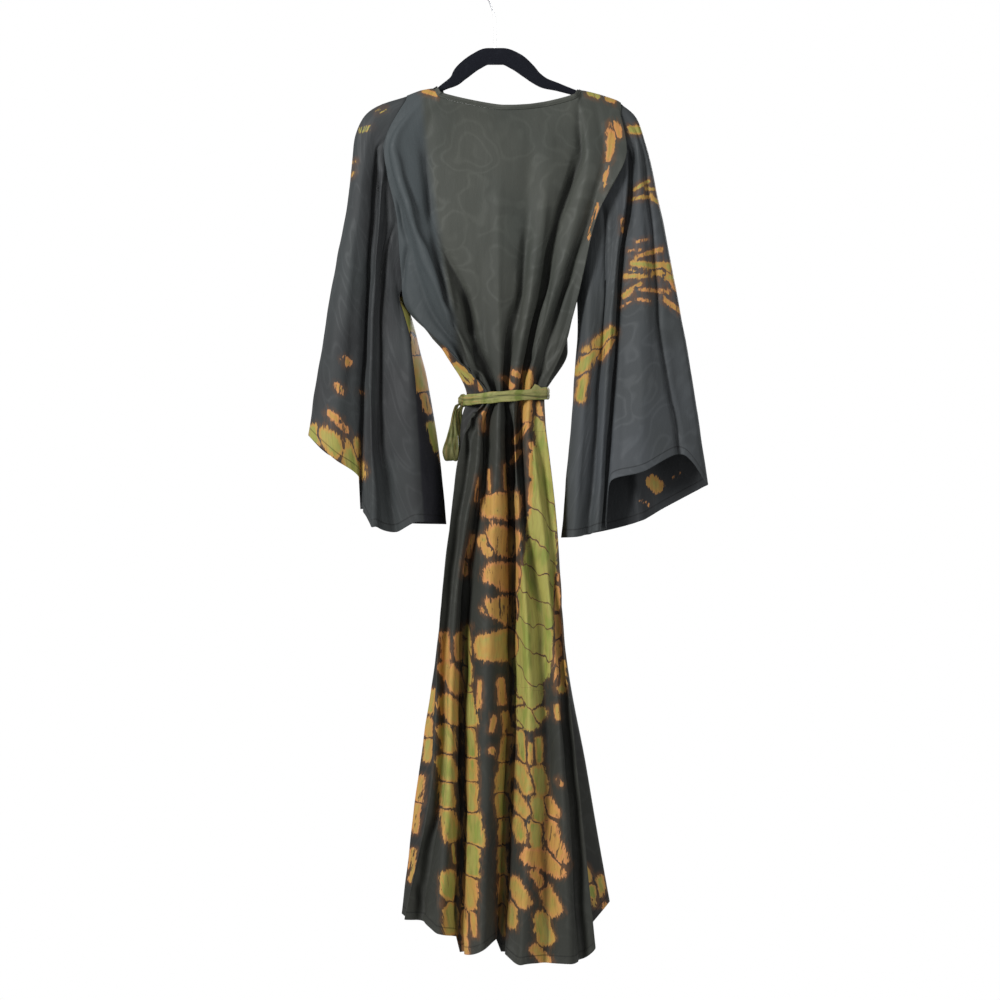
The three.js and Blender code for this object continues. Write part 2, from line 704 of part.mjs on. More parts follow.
// Hanger body: a flat outline with rounded edges, and its wire hook.
function hangerBody() {
  const shape = new THREE.Shape();
  const tops = HANGER_ROWS.map((row) => new THREE.Vector2(row.x, row.top));
  const bottoms = [...HANGER_ROWS].reverse().map((row) => new THREE.Vector2(row.x, row.bottom));
  shape.setFromPoints([...tops, ...bottoms]);
  const geometry = new THREE.ExtrudeGeometry(shape, {
    depth: HANGER_THICKNESS - 2 * HANGER_BEVEL,
    bevelEnabled: true,
    bevelThickness: HANGER_BEVEL,
    bevelSize: 0,
    bevelOffset: -HANGER_BEVEL / 2,
    bevelSegments: 1,
    steps: 1,
  });
  geometry.rotateX(Math.PI / 2);
  geometry.translate(0, HANGER_THICKNESS / 2 - HANGER_BEVEL, 0);
  return geometry;
}
add('hanger_body', hangerBody(), flock);

function hangerHook() {
  const centreRadius = HOOK_INNER_RADIUS + WIRE_RADIUS;
  const middle = -HOOK_INNER_RADIUS;
  const points = STEM.map(({ x, z }) => new THREE.Vector3(x, 0, z));
  for (let degrees = LOOP.from; degrees >= LOOP.to; degrees -= LOOP.step) {
    const a = THREE.MathUtils.degToRad(degrees);
    const x = Math.cos(a) * centreRadius;
    points.push(new THREE.Vector3(x, 0, middle + Math.sin(a) * centreRadius));
  }
  const section = new THREE.Shape();
  section.absarc(0, 0, WIRE_RADIUS, 0, Math.PI * 2, false);
  return new THREE.ExtrudeGeometry(section, {
    steps: 34,
    curveSegments: 4,
    bevelEnabled: false,
    extrudePath: new THREE.CatmullRomCurve3(points),
  });
}
add('hanger_hook', hangerHook(), chrome);

export default group;
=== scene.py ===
import math

import bpy
import numpy as np
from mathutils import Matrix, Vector


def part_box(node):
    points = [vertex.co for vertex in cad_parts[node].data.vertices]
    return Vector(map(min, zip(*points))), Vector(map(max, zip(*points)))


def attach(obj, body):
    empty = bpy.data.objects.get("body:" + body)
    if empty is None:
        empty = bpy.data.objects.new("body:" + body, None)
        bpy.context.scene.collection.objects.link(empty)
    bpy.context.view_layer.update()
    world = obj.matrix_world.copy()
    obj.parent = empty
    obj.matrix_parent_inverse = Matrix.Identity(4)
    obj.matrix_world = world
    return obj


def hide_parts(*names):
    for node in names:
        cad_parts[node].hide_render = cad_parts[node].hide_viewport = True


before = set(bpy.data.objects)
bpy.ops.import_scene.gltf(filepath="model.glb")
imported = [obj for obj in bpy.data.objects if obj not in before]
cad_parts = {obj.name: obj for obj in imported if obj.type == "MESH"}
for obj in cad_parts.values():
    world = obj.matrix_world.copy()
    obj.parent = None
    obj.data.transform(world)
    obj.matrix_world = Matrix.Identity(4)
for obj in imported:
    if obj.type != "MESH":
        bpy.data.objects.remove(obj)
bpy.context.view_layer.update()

# Everything below is worked out in millimetres and made in metres. The frame is the part's own:
# +Z up, -Y towards the back of the garment, which faces the camera, and the origin at the hook.
MM = 0.001
SHELL = 0.7  # the cloth as shown, two skins of one thin shell
WAIST = -684

camera_data = bpy.data.cameras.new("camera")
camera_data.lens = 152.7
camera_data.sensor_width = 36
camera = bpy.data.objects.new("camera", camera_data)
camera.location = (0.0066, -7.0, -0.856)
camera.rotation_euler = (math.radians(90), 0, 0)
bpy.context.scene.collection.objects.link(camera)
bpy.context.scene.camera = camera
bpy.context.scene.view_settings.view_transform = "Standard"

# Heights of the body's stations below the shoulder, and the rows of points in each of its spans.
# A sleeve's stations are shares of its length. Close rows follow at the hem, in mm above it.
HEIGHTS = [-280, -395, -525, -610, WAIST, -725, -790, -900, -1080, -1300]
BODY_ROWS = [1, 2, 14, 18, 22, 17, 18, 12, 16, 22, 34, 41, 46]
SLEEVE_STATIONS = [0, 0.04, 0.12, 0.3, 0.6, 1]
SLEEVE_ROWS = [6, 9, 18, 30, 36]
HEM_ROWS = [19, 16, 14.4, 13.2, 12, 9, 5, 2]

# How closely points follow each other from one fold line to the next
BACK_PER_FOLD = 14
FRONT_PER_FOLD = 12
LEFT_SLEEVE_PER_FOLD = 14
RIGHT_SLEEVE_PER_FOLD = 11

# Painted shade: a trough starts to close at the first depth, and is closed when deeper by the
# second
CREASE_SHADE_DEPTHS = (2.2, 4)
FOLD_SHADE_DEPTHS = (3, 9)
FOLD_SHADE_HALF_WIDTH = 2.3  # half width of the painted shade line in a closed fold
HEM_JUMP = 160  # a jump of the hem fades out this far above it

# Fold lines of the back panel: name, height at the top, or None where it lies on the hanger, and
# at the hem, then x and how far each stands out to the back at fourteen stations.
BACK_FOLDS = [
    ("left seam", None, -1536,
     [-147, -147, -148, -186, -163, -153, -74, -12, -38, -57, -71, -89, -99, -144],
     [0.6, 3.2, 6, 13, 14, 7, 2, 0.4, 0.4, 0.4, 0.4, 0.4, 0.4, 0.4]),
    ("left edge ridge", None, -1544,
     [-143, -143, -144, -183, -157, -146, -80, -16, -43, -62, -76, -94, -104, -150],
     [0.6, 3.2, 6, 14, 17, 14, 26, 26, 28, 32, 34, 38, 42, 44]),
    ("left soft valley", None, -1546,
     [-122, -122, -123, -177, -148, -118, -62, -13, -34, -46, -60, -80, -88, -126],
     [0.6, 3.2, 6, 17, 23, 24, 29, 24, 26, 30, 30, 32, 36, 38]),
    ("left ridge", None, -1566,
     [-104, -104, -106, -170, -137, -91, -50, -9, -25, -30, -50, -70, -76, -93],
     [0.6, 3.2, 6, 23, 36, 41, 38, 34, 40, 50, 54, 60, 66, 70]),
    ("left valley", -191, -1576,
     [-95, -95, -95, -117, -102, -50, -32, -2, -13, -17, -34, -54, -55, -60],
     [14, 14, 14, 20, 24, 26, 25, 25, 26, 28, 28, 30, 34, 38]),
    ("centre ridge", -213, -1595,
     [10, 10, 10, 14, 8, 6, 6, 6, 4, 2, -3, -13, -15, -24],
     [9, 9.2, 10, 27, 36, 40, 40, 37, 42, 52, 60, 68, 76, 84]),
    ("centre valley", -212, -1579,
     [45, 45, 45, 56, 51, 37, 20, 15, 19, 22, 28, 27, 25, 8],
     [9, 9.2, 10, 25, 30, 29, 27, 25, 24, 24, 24, 26, 28, 32]),
    ("right of centre ridge", -208, -1610,
     [80, 80, 80, 90, 74, 56, 40, 29, 29, 32, 38, 52, 55, 42],
     [9, 9.2, 10, 27, 36, 41, 40, 36, 42, 52, 60, 70, 80, 90]),
    ("right deep valley", -193, -1613,
     [134, 134, 134, 136, 102, 71, 54, 43, 38, 42, 50, 74, 82, 80],
     [12, 12, 12, 20, 22, 23, 24, 25, 30, 38, 44, 52, 60, 66]),
    ("right ridge", None, -1613,
     [142, 142, 142, 155, 130, 92, 66, 54, 54, 62, 76, 94, 108, 122],
     [0.6, 3.2, 6, 26, 36, 40, 39, 35, 42, 52, 58, 66, 76, 84]),
    ("right soft valley", None, -1607,
     [165, 165, 165, 178, 150, 108, 80, 65, 66, 73, 88, 103, 121, 142],
     [0.6, 3.2, 6, 23, 27, 29, 30, 26, 32, 40, 44, 50, 56, 62]),
    ("right edge ridge", None, -1588,
     [200, 200, 200, 215, 164, 134, 110, 79, 80, 88, 100, 111, 133, 163],
     [0.6, 3.2, 6, 24, 34, 36, 34, 28, 34, 42, 46, 52, 60, 64]),
    ("right seam", None, -1576,
     [206, 206, 206.5, 205, 152, 122, 105, 76, 77, 85, 97, 107, 129, 157],
     [0.6, 3.2, 6, 12, 12, 7, 2, 0.4, 0.4, 0.4, 0.4, 0.4, 0.4, 0.4]),
]


# Each front: its side and its free edge in x, how far the side stands out, how far the cloth
# between them does, and how far its folds swing about that.
FRONTS = {
    "left": {
        "hem": -1548,
        "side_hem": -1540,
        "edge": [-97, -97, -96, -64, -25, 13, 35, 48, 52, 60, 70, 85, 100, 120],
        "side": [-140, -140, -141, -178, -160, -148, -84, -48, -56, -62, -74, -95, -126, -156],
        "side_out": [0.6, 3.2, 6, 15, 16, 14, 12, 9, 9, 10, 12, 15, 18, 20],
        "rest": [0.6, 3.2, 6, 20, 23, 22, 20, 14, 15, 19, 26, 33, 40, 44],
        "swing": [0, 0, 0, 2, 4, 5, 4, 3, 3, 5, 7, 9, 10, 11],
    },
    "right": {
        "hem": -1556,
        "side_hem": -1521,
        "edge": [137, 137, 136, 104, 58, 12, -18, -34, -38, -48, -60, -76, -86, -100],
        "side": [200, 200, 200, 198, 144, 117, 119, 79, 81, 89, 101, 112, 149, 188],
        "side_out": [0.6, 3.2, 6, 17, 20, 20, 20, 16, 16, 18, 22, 26, 28, 30],
        "rest": [0.6, 3.2, 6, 20, 30, 36, 38, 31, 35, 44, 56, 66, 76, 82],
        "swing": [0, 0, 0, 2, 4, 5, 4, 3, 3, 5, 7, 9, 10, 11],
    },
}
# Folds of each front: how far across from side to edge, and its share of the swing
FRONT_FOLDS = [
    (0.14, -0.3), (0.27, 1), (0.4, -0.8), (0.53, 0.7), (0.66, -1), (0.8, 0.9), (0.91, -0.5),
]

# Fold lines round each sleeve: name, heights at the top and at the hem, then x and how far each
# stands out to the back at the five stations below the armhole.
LEFT_SLEEVE_FOLDS = [
    ("crest", -189, -749, [-205, -232, -243, -274, -310], [0, 1, 2, 4, 4]),
    ("back of crest", -200, -753, [-206, -230, -241, -271, -306], [7, 9, 14, 18, 20]),
    ("outer flute", -229, -788, [-202, -214, -226, -246, -266], [14, 20, 30, 38, 42]),
    ("first valley", -259, -821, [-197, -200, -206, -214, -223], [14, 15, 17, 20, 24]),
    ("middle flute", -295, -897, [-188, -192, -198, -206, -200], [17, 24, 33, 40, 44]),
    ("second valley", -394, -909, [-172, -181, -189, -191, -167], [14, 17, 22, 25, 27]),
    ("inner flute", -505, -892, [-160, -156, -144, -137, -127], [10, 20, 32, 38, 40]),
    ("front inner edge", -505, -896, [-159, -142, -122, -99, -82], [-8, -9, -11, -12, -10]),
    ("front inner flute", -430, -895, [-164, -165, -162, -152, -137], [-13, -18, -24, -28, -28]),
    ("front valley", -310, -880, [-184, -187, -190, -188, -182], [-12, -14, -18, -20, -20]),
    ("front outer flute", -262, -830, [-200, -208, -216, -228, -238], [-12, -18, -26, -32, -34]),
    ("front of crest", -200, -762, [-206, -229, -239, -266, -299], [-7, -9, -12, -14, -14]),
]
RIGHT_SLEEVE_FOLDS = [
    ("crest", -200, -830, [231, 249, 274, 310, 350], [0, 1, 2, 4, 4]),
    ("front of crest", -211, -836, [229, 245, 268, 302, 340], [-7, -9, -12, -13, -12]),
    ("front outer flute", -262, -869, [226, 234, 247, 263, 279], [-12, -19, -26, -30, -30]),
    ("front valley", -300, -891, [209, 213, 219, 227, 238], [-12, -14, -16, -16, -14]),
    ("front inner flute", -380, -907, [178, 185, 192, 192, 180], [-14, -20, -26, -28, -26]),
    ("front inner edge", -480, -915, [145, 150, 154, 150, 134], [-11, -15, -20, -21, -16]),
    ("inner edge", -512, -918, [134, 135, 131, 122, 107], [0, 3, 8, 12, 10]),
    ("inner flute", -440, -917, [150, 152, 152, 145, 128], [14, 20, 32, 38, 38]),
    ("soft valley", -358, -913, [178, 181, 179, 168, 151], [14, 17, 21, 24, 25]),
    ("second flute", -290, -907, [209, 210, 197, 182, 167], [14, 20, 29, 35, 36]),
    ("first valley", -262, -905, [219, 221, 209, 195, 177], [12, 13, 15, 18, 20]),
    ("lifted corner", -250, -825, [223, 228, 217, 206, 188], [12, 15, 21, 27, 32]),
    ("wide flute", -237, -810, [227, 236, 241, 243, 240], [13, 21, 31, 40, 50]),
    ("outer valley", -222, -780, [230, 243, 256, 268, 303], [10, 14, 19, 24, 32]),
    ("back of crest", -210, -824, [231, 248, 271, 306, 344], [7, 10, 14, 17, 16]),
]

# The hanger's bar: x, top and bottom
HANGER_ROWS = [
    (-203, -214.5, -222), (-175, -203.5, -213), (-147, -191.5, -201), (-122, -182.5, -193),
    (-104, -179.8, -188), (-84, -167, -179), (-68, -154, -173), (-57, -138, -164),
    (-34, -119, -147), (-13, -110, -138), (11, -110, -138), (33, -118, -147), (52, -134, -160),
    (66, -149, -170), (80, -159, -177), (100, -167, -181), (142, -183, -192), (165, -188, -197),
    (200, -199.5, -208), (211, -206, -213),
]

# The belt's ties from the knot on: x, y, z, half width, and turn in degrees
TIES = {
    "belt_loop_left": [
        (-65, 30, -700, 3.5, 30), (-70, 14, -722, 4, 15), (-72, 3, -750, 9, 6),
        (-75, 1, -776, 13.5, 3), (-73, 9, -791, 11, 3), (-72, 19, -776, 10, 8),
        (-70, 32, -744, 6, 25),
    ],
    "belt_loop_right": [
        (-28, 60, -704, 6, 5), (-16, 63, -730, 12, 0), (-12, 72, -760, 13, 0),
        (-16, 82, -768, 12, 0), (-22, 82, -748, 10, 5), (-30, 76, -716, 6, 10),
    ],
    "belt_tail_left": [
        (-62, 52, -714, 6, 10), (-53, 66, -770, 9, 5), (-51, 80, -870, 15, -5),
        (-50, 88, -980, 15, 8), (-54, 94, -1090, 14, 0),
    ],
    "belt_tail_right": [
        (-42, 64, -714, 5, 5), (-35, 77, -790, 8, 0), (-22, 90, -890, 14, 8),
        (-20, 98, -1010, 15, -4), (-12, 103, -1150, 14, 4),
    ],
}

# Fold lines drawn in as sharp valleys, or out as ridges where the depth is negative: number of
# the fold, its depths and its widths at the heights in BODY_AT or SLEEVE_AT.
BODY_AT = [-240, -400, -525, -640, -700, -800, -950, -1250, -1570]
BACK_LINES = [
    (2, [0, 1, 3, 4, 3, 3, 3, 5, 6], [10, 9, 7, 5, 4, 5, 6, 7, 8]),
    (3, [-3, -4, -4, -3, -2, -2, -2, -3, -4], [7, 7, 6, 5, 4, 5, 6, 8, 9]),
    (4, [4, 6, 9, 8, 6, 4, 7, 14, 15], [12, 9, 7, 5, 3.5, 4, 5, 4.5, 5.5]),
    (6, [1, 2, 6, 10, 9, 13, 16, 14, 15], [12, 9, 7, 5, 3.5, 3.5, 4, 4, 5]),
    (8, [7, 10, 11, 9, 7, 7, 6, 6, 8], [6, 5, 5, 4, 3.5, 4, 6, 7, 8]),
    (10, [2, 5, 7, 6, 4, 3, 4, 6, 8], [7, 6, 5, 4, 4, 5, 6, 7, 8]),
]
# Jumps where one fold laps over the next at the hem: fold, shift, drop and fade
BACK_HEM_STEPS = [(4, 11, 13, 32), (5, -9, 0, 22), (6, 9, 12, 26)]
SLEEVE_AT = [-230, -300, -400, -550, -700, -880]
SLEEVE_LINES = {
    "left": [
        (3, [3, 6, 7, 8, 9, 12], [6, 5, 4, 4, 4, 5]),
        (5, [3, 4, 6, 7, 7, 6], [6, 5, 4, 4, 5, 6]),
        (4, [-1, -3, -4, -4, -4, -4], [6, 6, 7, 8, 9, 9]),
        (9, [2, 4, 5, 6, 7, 7], [6, 6, 6, 7, 7, 8]),
    ],
    "right": [
        (10, [4, 7, 8, 8, 7, 7], [6, 5, 4, 4, 4, 5]),
        (8, [2, 4, 6, 6, 5, 5], [6, 6, 6, 7, 7, 8]),
        (13, [2, 4, 6, 8, 10, 11], [6, 5, 4, 4, 4, 5]),
        (3, [2, 4, 5, 6, 7, 7], [6, 6, 6, 7, 7, 8]),
    ],
}
SLEEVE_HEM_STEPS = {"left": [(3, 25, 25, 14), (10, -34, 0, 30)], "right": []}

# Creases pressed into the folds: from x and z, to x and z, how far the middle bends aside, width,
# and depth, which is negative for a trough.
BACK_CREASES = [
    (-120, -258, -104, -415, -1, 6, -4.6), (-104, -409, -72, -562, -3, 6, -5.2),
    (-76, -546, -40, -660, -2, 5, -4.4), (-111, -290, -66, -560, -5, 5, 2.6),
    (-174, -262, -134, -412, 3, 6, 2.8), (-136, -400, -66, -594, 4, 5, 3.4),
    (-160, -348, -143, -440, -4, 5, -2.6), (-141, -430, -158, -515, -3, 5, -3.0),
    (-160, -300, -120, -430, 3, 5, -1.8), (-96, -455, -70, -560, 5, 4, 2.6),
    (-57, -500, -36, -600, 2, 4.5, -5.6), (-37, -585, -26, -668, 1, 4, -4.6),
    (-82, -560, -28, -672, 6, 4, 1.8), (-100, -585, -40, -676, 5, 4, -1.8),
    (6, -300, 7, -640, -2, 5, 1.6), (-24, -420, -12, -668, -3, 7, -1.6),
    (52, -380, 22, -640, 3, 6, -2.6), (34, -470, 16, -668, 2, 4, 1.5),
    (84, -330, 48, -640, 4, 5, 1.8), (100, -420, 56, -655, 3, 4, -1.9),
    (133, -268, 104, -400, 3, 6, -2.6), (150, -390, 84, -640, -6, 4, -2.0),
    (139, -470, 76, -655, -6, 3.5, 1.6), (130, -500, 88, -640, 4, 3, -1.5),
    (122, -560, 72, -664, 6, 3, 1.4), (96, -600, 60, -670, 2, 3, -1.4),
    (70, -600, 46, -672, 2, 3, 1.5), (60, -610, 38, -674, 1, 2.6, -1.6),
    (24, -612, 12, -676, 0, 2.6, 1.3), (-14, -620, -4, -676, 0, 3, -1.2),
    (94, -268, 116, -276, 3, 3, -0.9), (-118, -250, -116, -330, 2, 3, 1.0),
    (-50, -700, -44, -800, 2, 4, -2.4), (-40, -700, -30, -760, 1, 3, -2.4),
    (-31, -702, -26, -775, -1, 3, 2.0), (-19, -706, -19, -910, 1, 3.4, -2.6),
    (-44, -900, -54, -1100, 2, 5, -2.6), (-34, -880, -46, -1010, 3, 4, 2.0),
    (-14, -760, -26, -1010, -3, 6, 2.0), (4, -705, 8, -940, 1, 4, 1.4),
    (20, -700, 26, -860, 1, 5, -4.5), (38, -700, 36, -905, 1, 4, -3.0),
    (48, -705, 50, -960, 2, 5, 1.8), (57, -700, 58, -860, 2, 3.5, -2.6),
    (68, -702, 84, -900, 3, 4, -1.8), (76, -760, 94, -1000, 3, 5, 1.6),
    (56, -920, 70, -1180, -4, 8, -2.0), (84, -940, 96, -1160, 4, 6, -1.6),
    (-56, -1060, -56, -1560, 2, 3.2, -5.6), (22, -800, 27, -1180, 1, 2.6, -5.6),
    (28, -1150, 12, -1590, -3, 2.8, -5.6), (-28, -1180, -32, -1500, 3, 8, 1.8),
    (-92, -1120, -112, -1440, 3, 7, 2.0), (6, -1240, 0, -1560, 2, 6, -1.8),
    (40, -1300, 34, -1590, -3, 7, 1.8), (66, -1200, 92, -1590, 3, 8, -2.4),
    (112, -1330, 124, -1590, -3, 7, 1.8), (104, -1160, 140, -1540, 4, 6, -2.2),
    (-128, -1480, -118, -1546, 2, 6, -1.8),
]
FRONT_CREASES = [
    (-110, -300, -40, -560, 8, 8, -2.6), (-150, -340, -60, -600, 6, 6, 2.4),
    (-120, -560, -60, -672, 5, 5, -2.2), (-60, -480, -24, -668, 4, 5, 2.0),
    (-20, -560, 6, -672, 3, 4, -2.0), (60, -420, 24, -660, 5, 6, -2.4),
    (110, -330, 52, -610, -6, 7, 2.6), (150, -420, 84, -650, -6, 5, -2.4),
    (100, -560, 62, -672, 4, 4, 1.8), (-52, -700, -58, -900, 2, 5, -2.6),
    (-30, -700, -36, -980, 3, 5, 2.4), (-6, -700, -4, -860, 2, 4, -2.2),
    (16, -702, 22, -1000, -3, 6, 2.0), (36, -700, 46, -900, 2, 4, -2.4),
    (56, -704, 74, -980, 3, 6, 2.2), (-70, -980, -96, -1400, 4, 8, -2.6),
    (-20, -1060, -40, -1520, -4, 9, 2.4), (30, -1080, 26, -1540, 4, 8, -2.4),
    (80, -1040, 104, -1500, -4, 8, 2.2), (110, -1180, 140, -1540, 3, 7, -2.2),
]
SLEEVE_CREASES = [
    (-197, -262, -205, -520, 2, 5, -3.4), (-180, -300, -192, -560, 3, 5, -3.0),
    (-168, -330, -166, -460, 4, 4, -2.4), (-188, -262, -184, -420, 2, 4, 2.0),
    (-160, -430, -150, -530, 3, 4, 2.2), (-152, -500, -142, -720, 4, 6, 2.0),
    (-224, -330, -248, -760, 3, 8, -1.6), (-238, -360, -276, -720, -4, 9, 1.5),
    (-210, -640, -212, -860, 3, 8, -1.8), (-176, -620, -174, -880, -3, 8, -1.8),
    (226, -250, 214, -440, 3, 5, -3.2), (210, -300, 196, -560, 3, 5, -2.2),
    (190, -340, 172, -640, 3, 6, 2.0), (240, -270, 262, -520, -4, 8, -1.8),
    (254, -330, 290, -640, -4, 8, 1.6), (206, -560, 190, -860, 3, 7, -1.8),
    (232, -560, 240, -780, 3, 9, 1.6), (160, -640, 140, -880, -3, 7, -1.8),
    (282, -560, 310, -740, 3, 9, -1.6),
]

# Where dye shows, as tapered strokes in the plane of the photo's view: from x and z, to x and z,
# half widths there, how solidly it covers, how warm it is from olive at 0 to orange at 1, and 1
# where the cloth was bound on the slant.
BACK_DYE = [
    (-20, -713, -20, -742, 3.0, 3.0, 0.9, 1, 0),
    (50, -652, 51, -668, 9.9, 8.2, 0.95, 0.75, 0),
    (15, -656, 25, -668, 4.9, 4.9, 0.75, 1, 0),
    (30, -648, 38, -652, 4.9, 4.9, 0.8, 0.95, 0),
    (50, -689, 50, -721, 8.2, 8.2, 0.95, 0.75, 0),
    (69, -698, 74, -718, 4.1, 4.9, 0.7, 0.8, 0),
    (53, -731, 31, -759, 4.9, 4.9, 0.75, 0.9, 0),
    (38, -777, 25, -795, 4.9, 4.1, 0.7, 0.95, 0),
    (16, -800, 18, -840, 4.3, 5.8, 0.7, 0.9, 0),
    (-12, -807, -10, -840, 2.3, 3.3, 0.6, 1, 0),
    (-30, -820, -33, -856, 1.6, 3.3, 0.6, 1, 0),
    (69, -726, 78, -777, 8.2, 11.5, 1, 0.15, 1),
    (73, -782, 79, -856, 14.8, 19.8, 1.1, 0.12, 1),
    (78, -856, 71, -980, 21.4, 28.0, 1.15, 0.08, 1),
    (68, -980, 59, -1120, 29.7, 33.0, 1.15, 0.06, 1),
    (56, -1112, 53, -1212, 26.4, 19.8, 1.1, 0.1, 1),
    (58, -765, 59, -889, 4.1, 4.9, 0.9, 0.75, 1),
    (99, -980, 102, -1153, 4.9, 6.6, 0.8, 0.8, 0),
    (-8, -866, 18, -864, 18.0, 24.0, 0.76, 0.85, 0),
    (-18, -922, -10, -936, 11.0, 11.0, 0.8, 0.62, 0),
    (2, -920, 16, -925, 22.0, 24.0, 0.72, 0.85, 0),
    (-4, -976, 20, -982, 17.0, 25.0, 0.8, 1.0, 0),
    (-10, -1031, 18, -1036, 13.0, 24.8, 0.58, 0.9, 0),
    (-14, -1097, 20, -1095, 21.4, 26.4, 0.94, 0.66, 0),
    (-38, -916, -46, -948, 4.1, 4.9, 0.7, 0.9, 0),
    (-50, -960, -50, -978, 4.3, 4.3, 0.66, 1, 0),
    (-84, -1080, -82, -1113, 7.4, 7.4, 0.82, 0.8, 0),
    (-61, -1080, -61, -1113, 6.6, 6.6, 0.84, 0.8, 0),
    (-81, -1133, -64, -1160, 13.2, 13.2, 0.88, 0.8, 0),
    (-81, -1189, -66, -1209, 14.8, 14.8, 0.86, 0.66, 0),
    (-82, -1237, -78, -1259, 13.2, 11.5, 0.9, 0.5, 0),
    (-84, -1288, -78, -1305, 14.8, 14.8, 0.94, 0.42, 0),
    (-82, -1328, -79, -1351, 12.4, 11.5, 0.9, 0.4, 0),
    (-81, -1371, -71, -1401, 11.5, 14.8, 0.86, 0.55, 0),
    (-71, -1420, -68, -1450, 2.6, 3.0, 0.7, 0.5, 0),
    (-78, -1476, -74, -1509, 13.2, 14.8, 0.86, 0.45, 0),
    (-73, -1516, -73, -1559, 13.2, 11.5, 0.86, 0.4, 0),
    (-48, -1067, -46, -1166, 6.6, 7.4, 0.96, 0.22, 0),
    (-45, -1179, -41, -1217, 8.2, 10.7, 0.94, 0.3, 0),
    (-43, -1237, -40, -1270, 8.2, 9.9, 0.94, 0.42, 0),
    (-41, -1287, -40, -1311, 9.9, 9.9, 0.94, 0.55, 0),
    (-40, -1326, -40, -1361, 10.7, 10.7, 0.92, 0.55, 0),
    (-38, -1376, -33, -1410, 13.2, 14.8, 0.94, 0.35, 0),
    (-38, -1427, -38, -1465, 12.4, 11.5, 0.96, 0.3, 0),
    (-43, -1481, -41, -1519, 12.4, 10.7, 0.9, 0.7, 0),
    (-51, -1533, -53, -1569, 5.9, 6.6, 0.86, 0.75, 0),
    (-38, -1528, -35, -1566, 5.3, 4.3, 0.8, 0.8, 0),
    (-51, -1579, -50, -1595, 6.6, 6.6, 0.7, 0.9, 0),
    (-26, -1153, -28, -1193, 3.6, 4.3, 0.7, 0.85, 0),
    (8, -1153, 10, -1186, 5.8, 6.6, 0.78, 0.9, 0),
    (-3, -1212, -7, -1231, 4.6, 4.6, 0.7, 0.9, 0),
    (15, -1209, 20, -1234, 6.9, 8.2, 0.78, 0.75, 0),
    (-8, -1265, -2, -1269, 5.3, 4.9, 0.62, 0.85, 0),
    (18, -1249, 13, -1278, 8.2, 9.9, 0.78, 0.6, 0),
    (15, -1298, 10, -1328, 12.4, 11.5, 0.92, 0.5, 0),
    (10, -1344, 12, -1369, 11.5, 10.7, 0.92, 0.42, 0),
    (13, -1386, 13, -1414, 9.2, 8.2, 0.92, 0.5, 0),
    (10, -1430, 10, -1465, 7.6, 7.6, 0.92, 0.5, 0),
    (12, -1481, 10, -1516, 7.6, 7.6, 0.92, 0.6, 0),
    (10, -1529, 10, -1569, 7.6, 4.9, 0.84, 0.55, 0),
    (43, -1186, 66, -1206, 14.8, 14.8, 1.05, 0.15, 0),
    (40, -1239, 45, -1280, 6.9, 6.9, 0.8, 0.35, 0),
    (56, -1255, 54, -1282, 4.3, 5.6, 0.76, 0.5, 0),
    (69, -1249, 71, -1288, 6.6, 5.6, 0.8, 0.45, 0),
    (38, -1295, 50, -1325, 11.5, 11.5, 0.92, 0.55, 0),
    (69, -1300, 74, -1331, 12.4, 10.7, 0.92, 0.42, 0),
    (33, -1344, 46, -1364, 9.9, 9.9, 0.86, 0.6, 0),
    (68, -1349, 71, -1374, 11.5, 12.4, 0.94, 0.32, 0),
    (84, -1348, 94, -1368, 8.2, 9.9, 0.76, 0.85, 0),
    (35, -1384, 41, -1404, 10.7, 10.7, 0.86, 0.6, 0),
    (64, -1391, 66, -1417, 10.7, 9.9, 0.94, 0.32, 0),
    (87, -1387, 106, -1447, 11.5, 14.0, 0.66, 1, 0),
    (56, -1437, 99, -1453, 13.2, 18.1, 0.82, 0.88, 0),
    (30, -1486, 45, -1509, 12.4, 12.4, 0.88, 0.68, 0),
    (61, -1463, 78, -1490, 6.6, 6.6, 0.7, 0.9, 0),
    (82, -1496, 94, -1523, 11.5, 13.2, 0.9, 0.7, 0),
    (25, -1526, 26, -1549, 9.9, 8.2, 0.84, 0.62, 0),
    (74, -1542, 81, -1572, 12.4, 14.0, 0.9, 0.48, 0),
    (63, -1589, 81, -1608, 7.4, 8.2, 0.8, 0.72, 0),
    (107, -1123, 107, -1163, 6.9, 8.2, 0.88, 0.45, 0),
    (99, -1193, 101, -1212, 4.1, 4.1, 0.62, 0.7, 0),
    (101, -1313, 107, -1320, 3.3, 3.3, 0.6, 0.9, 0),
    (195, -242, 203, -255, 9.1, 4.9, 0.98, 0.78, 0),
    (193, -242, 185, -295, 9.1, 4.9, 0.98, 0.8, 0),
    (182, -308, 177, -345, 4.3, 3.3, 0.46, 1, 0),
    (167, -371, 152, -427, 3.3, 2.6, 0.42, 1, 0),
    (155, -185, 168, -189, 4.9, 4.9, 0.9, 0.15, 0),
    (183, -194, 193, -198, 4.0, 4.0, 0.86, 0.7, 0),
    (-119, -181, -99, -188, 4.0, 3.6, 0.86, 0.7, 0),
]
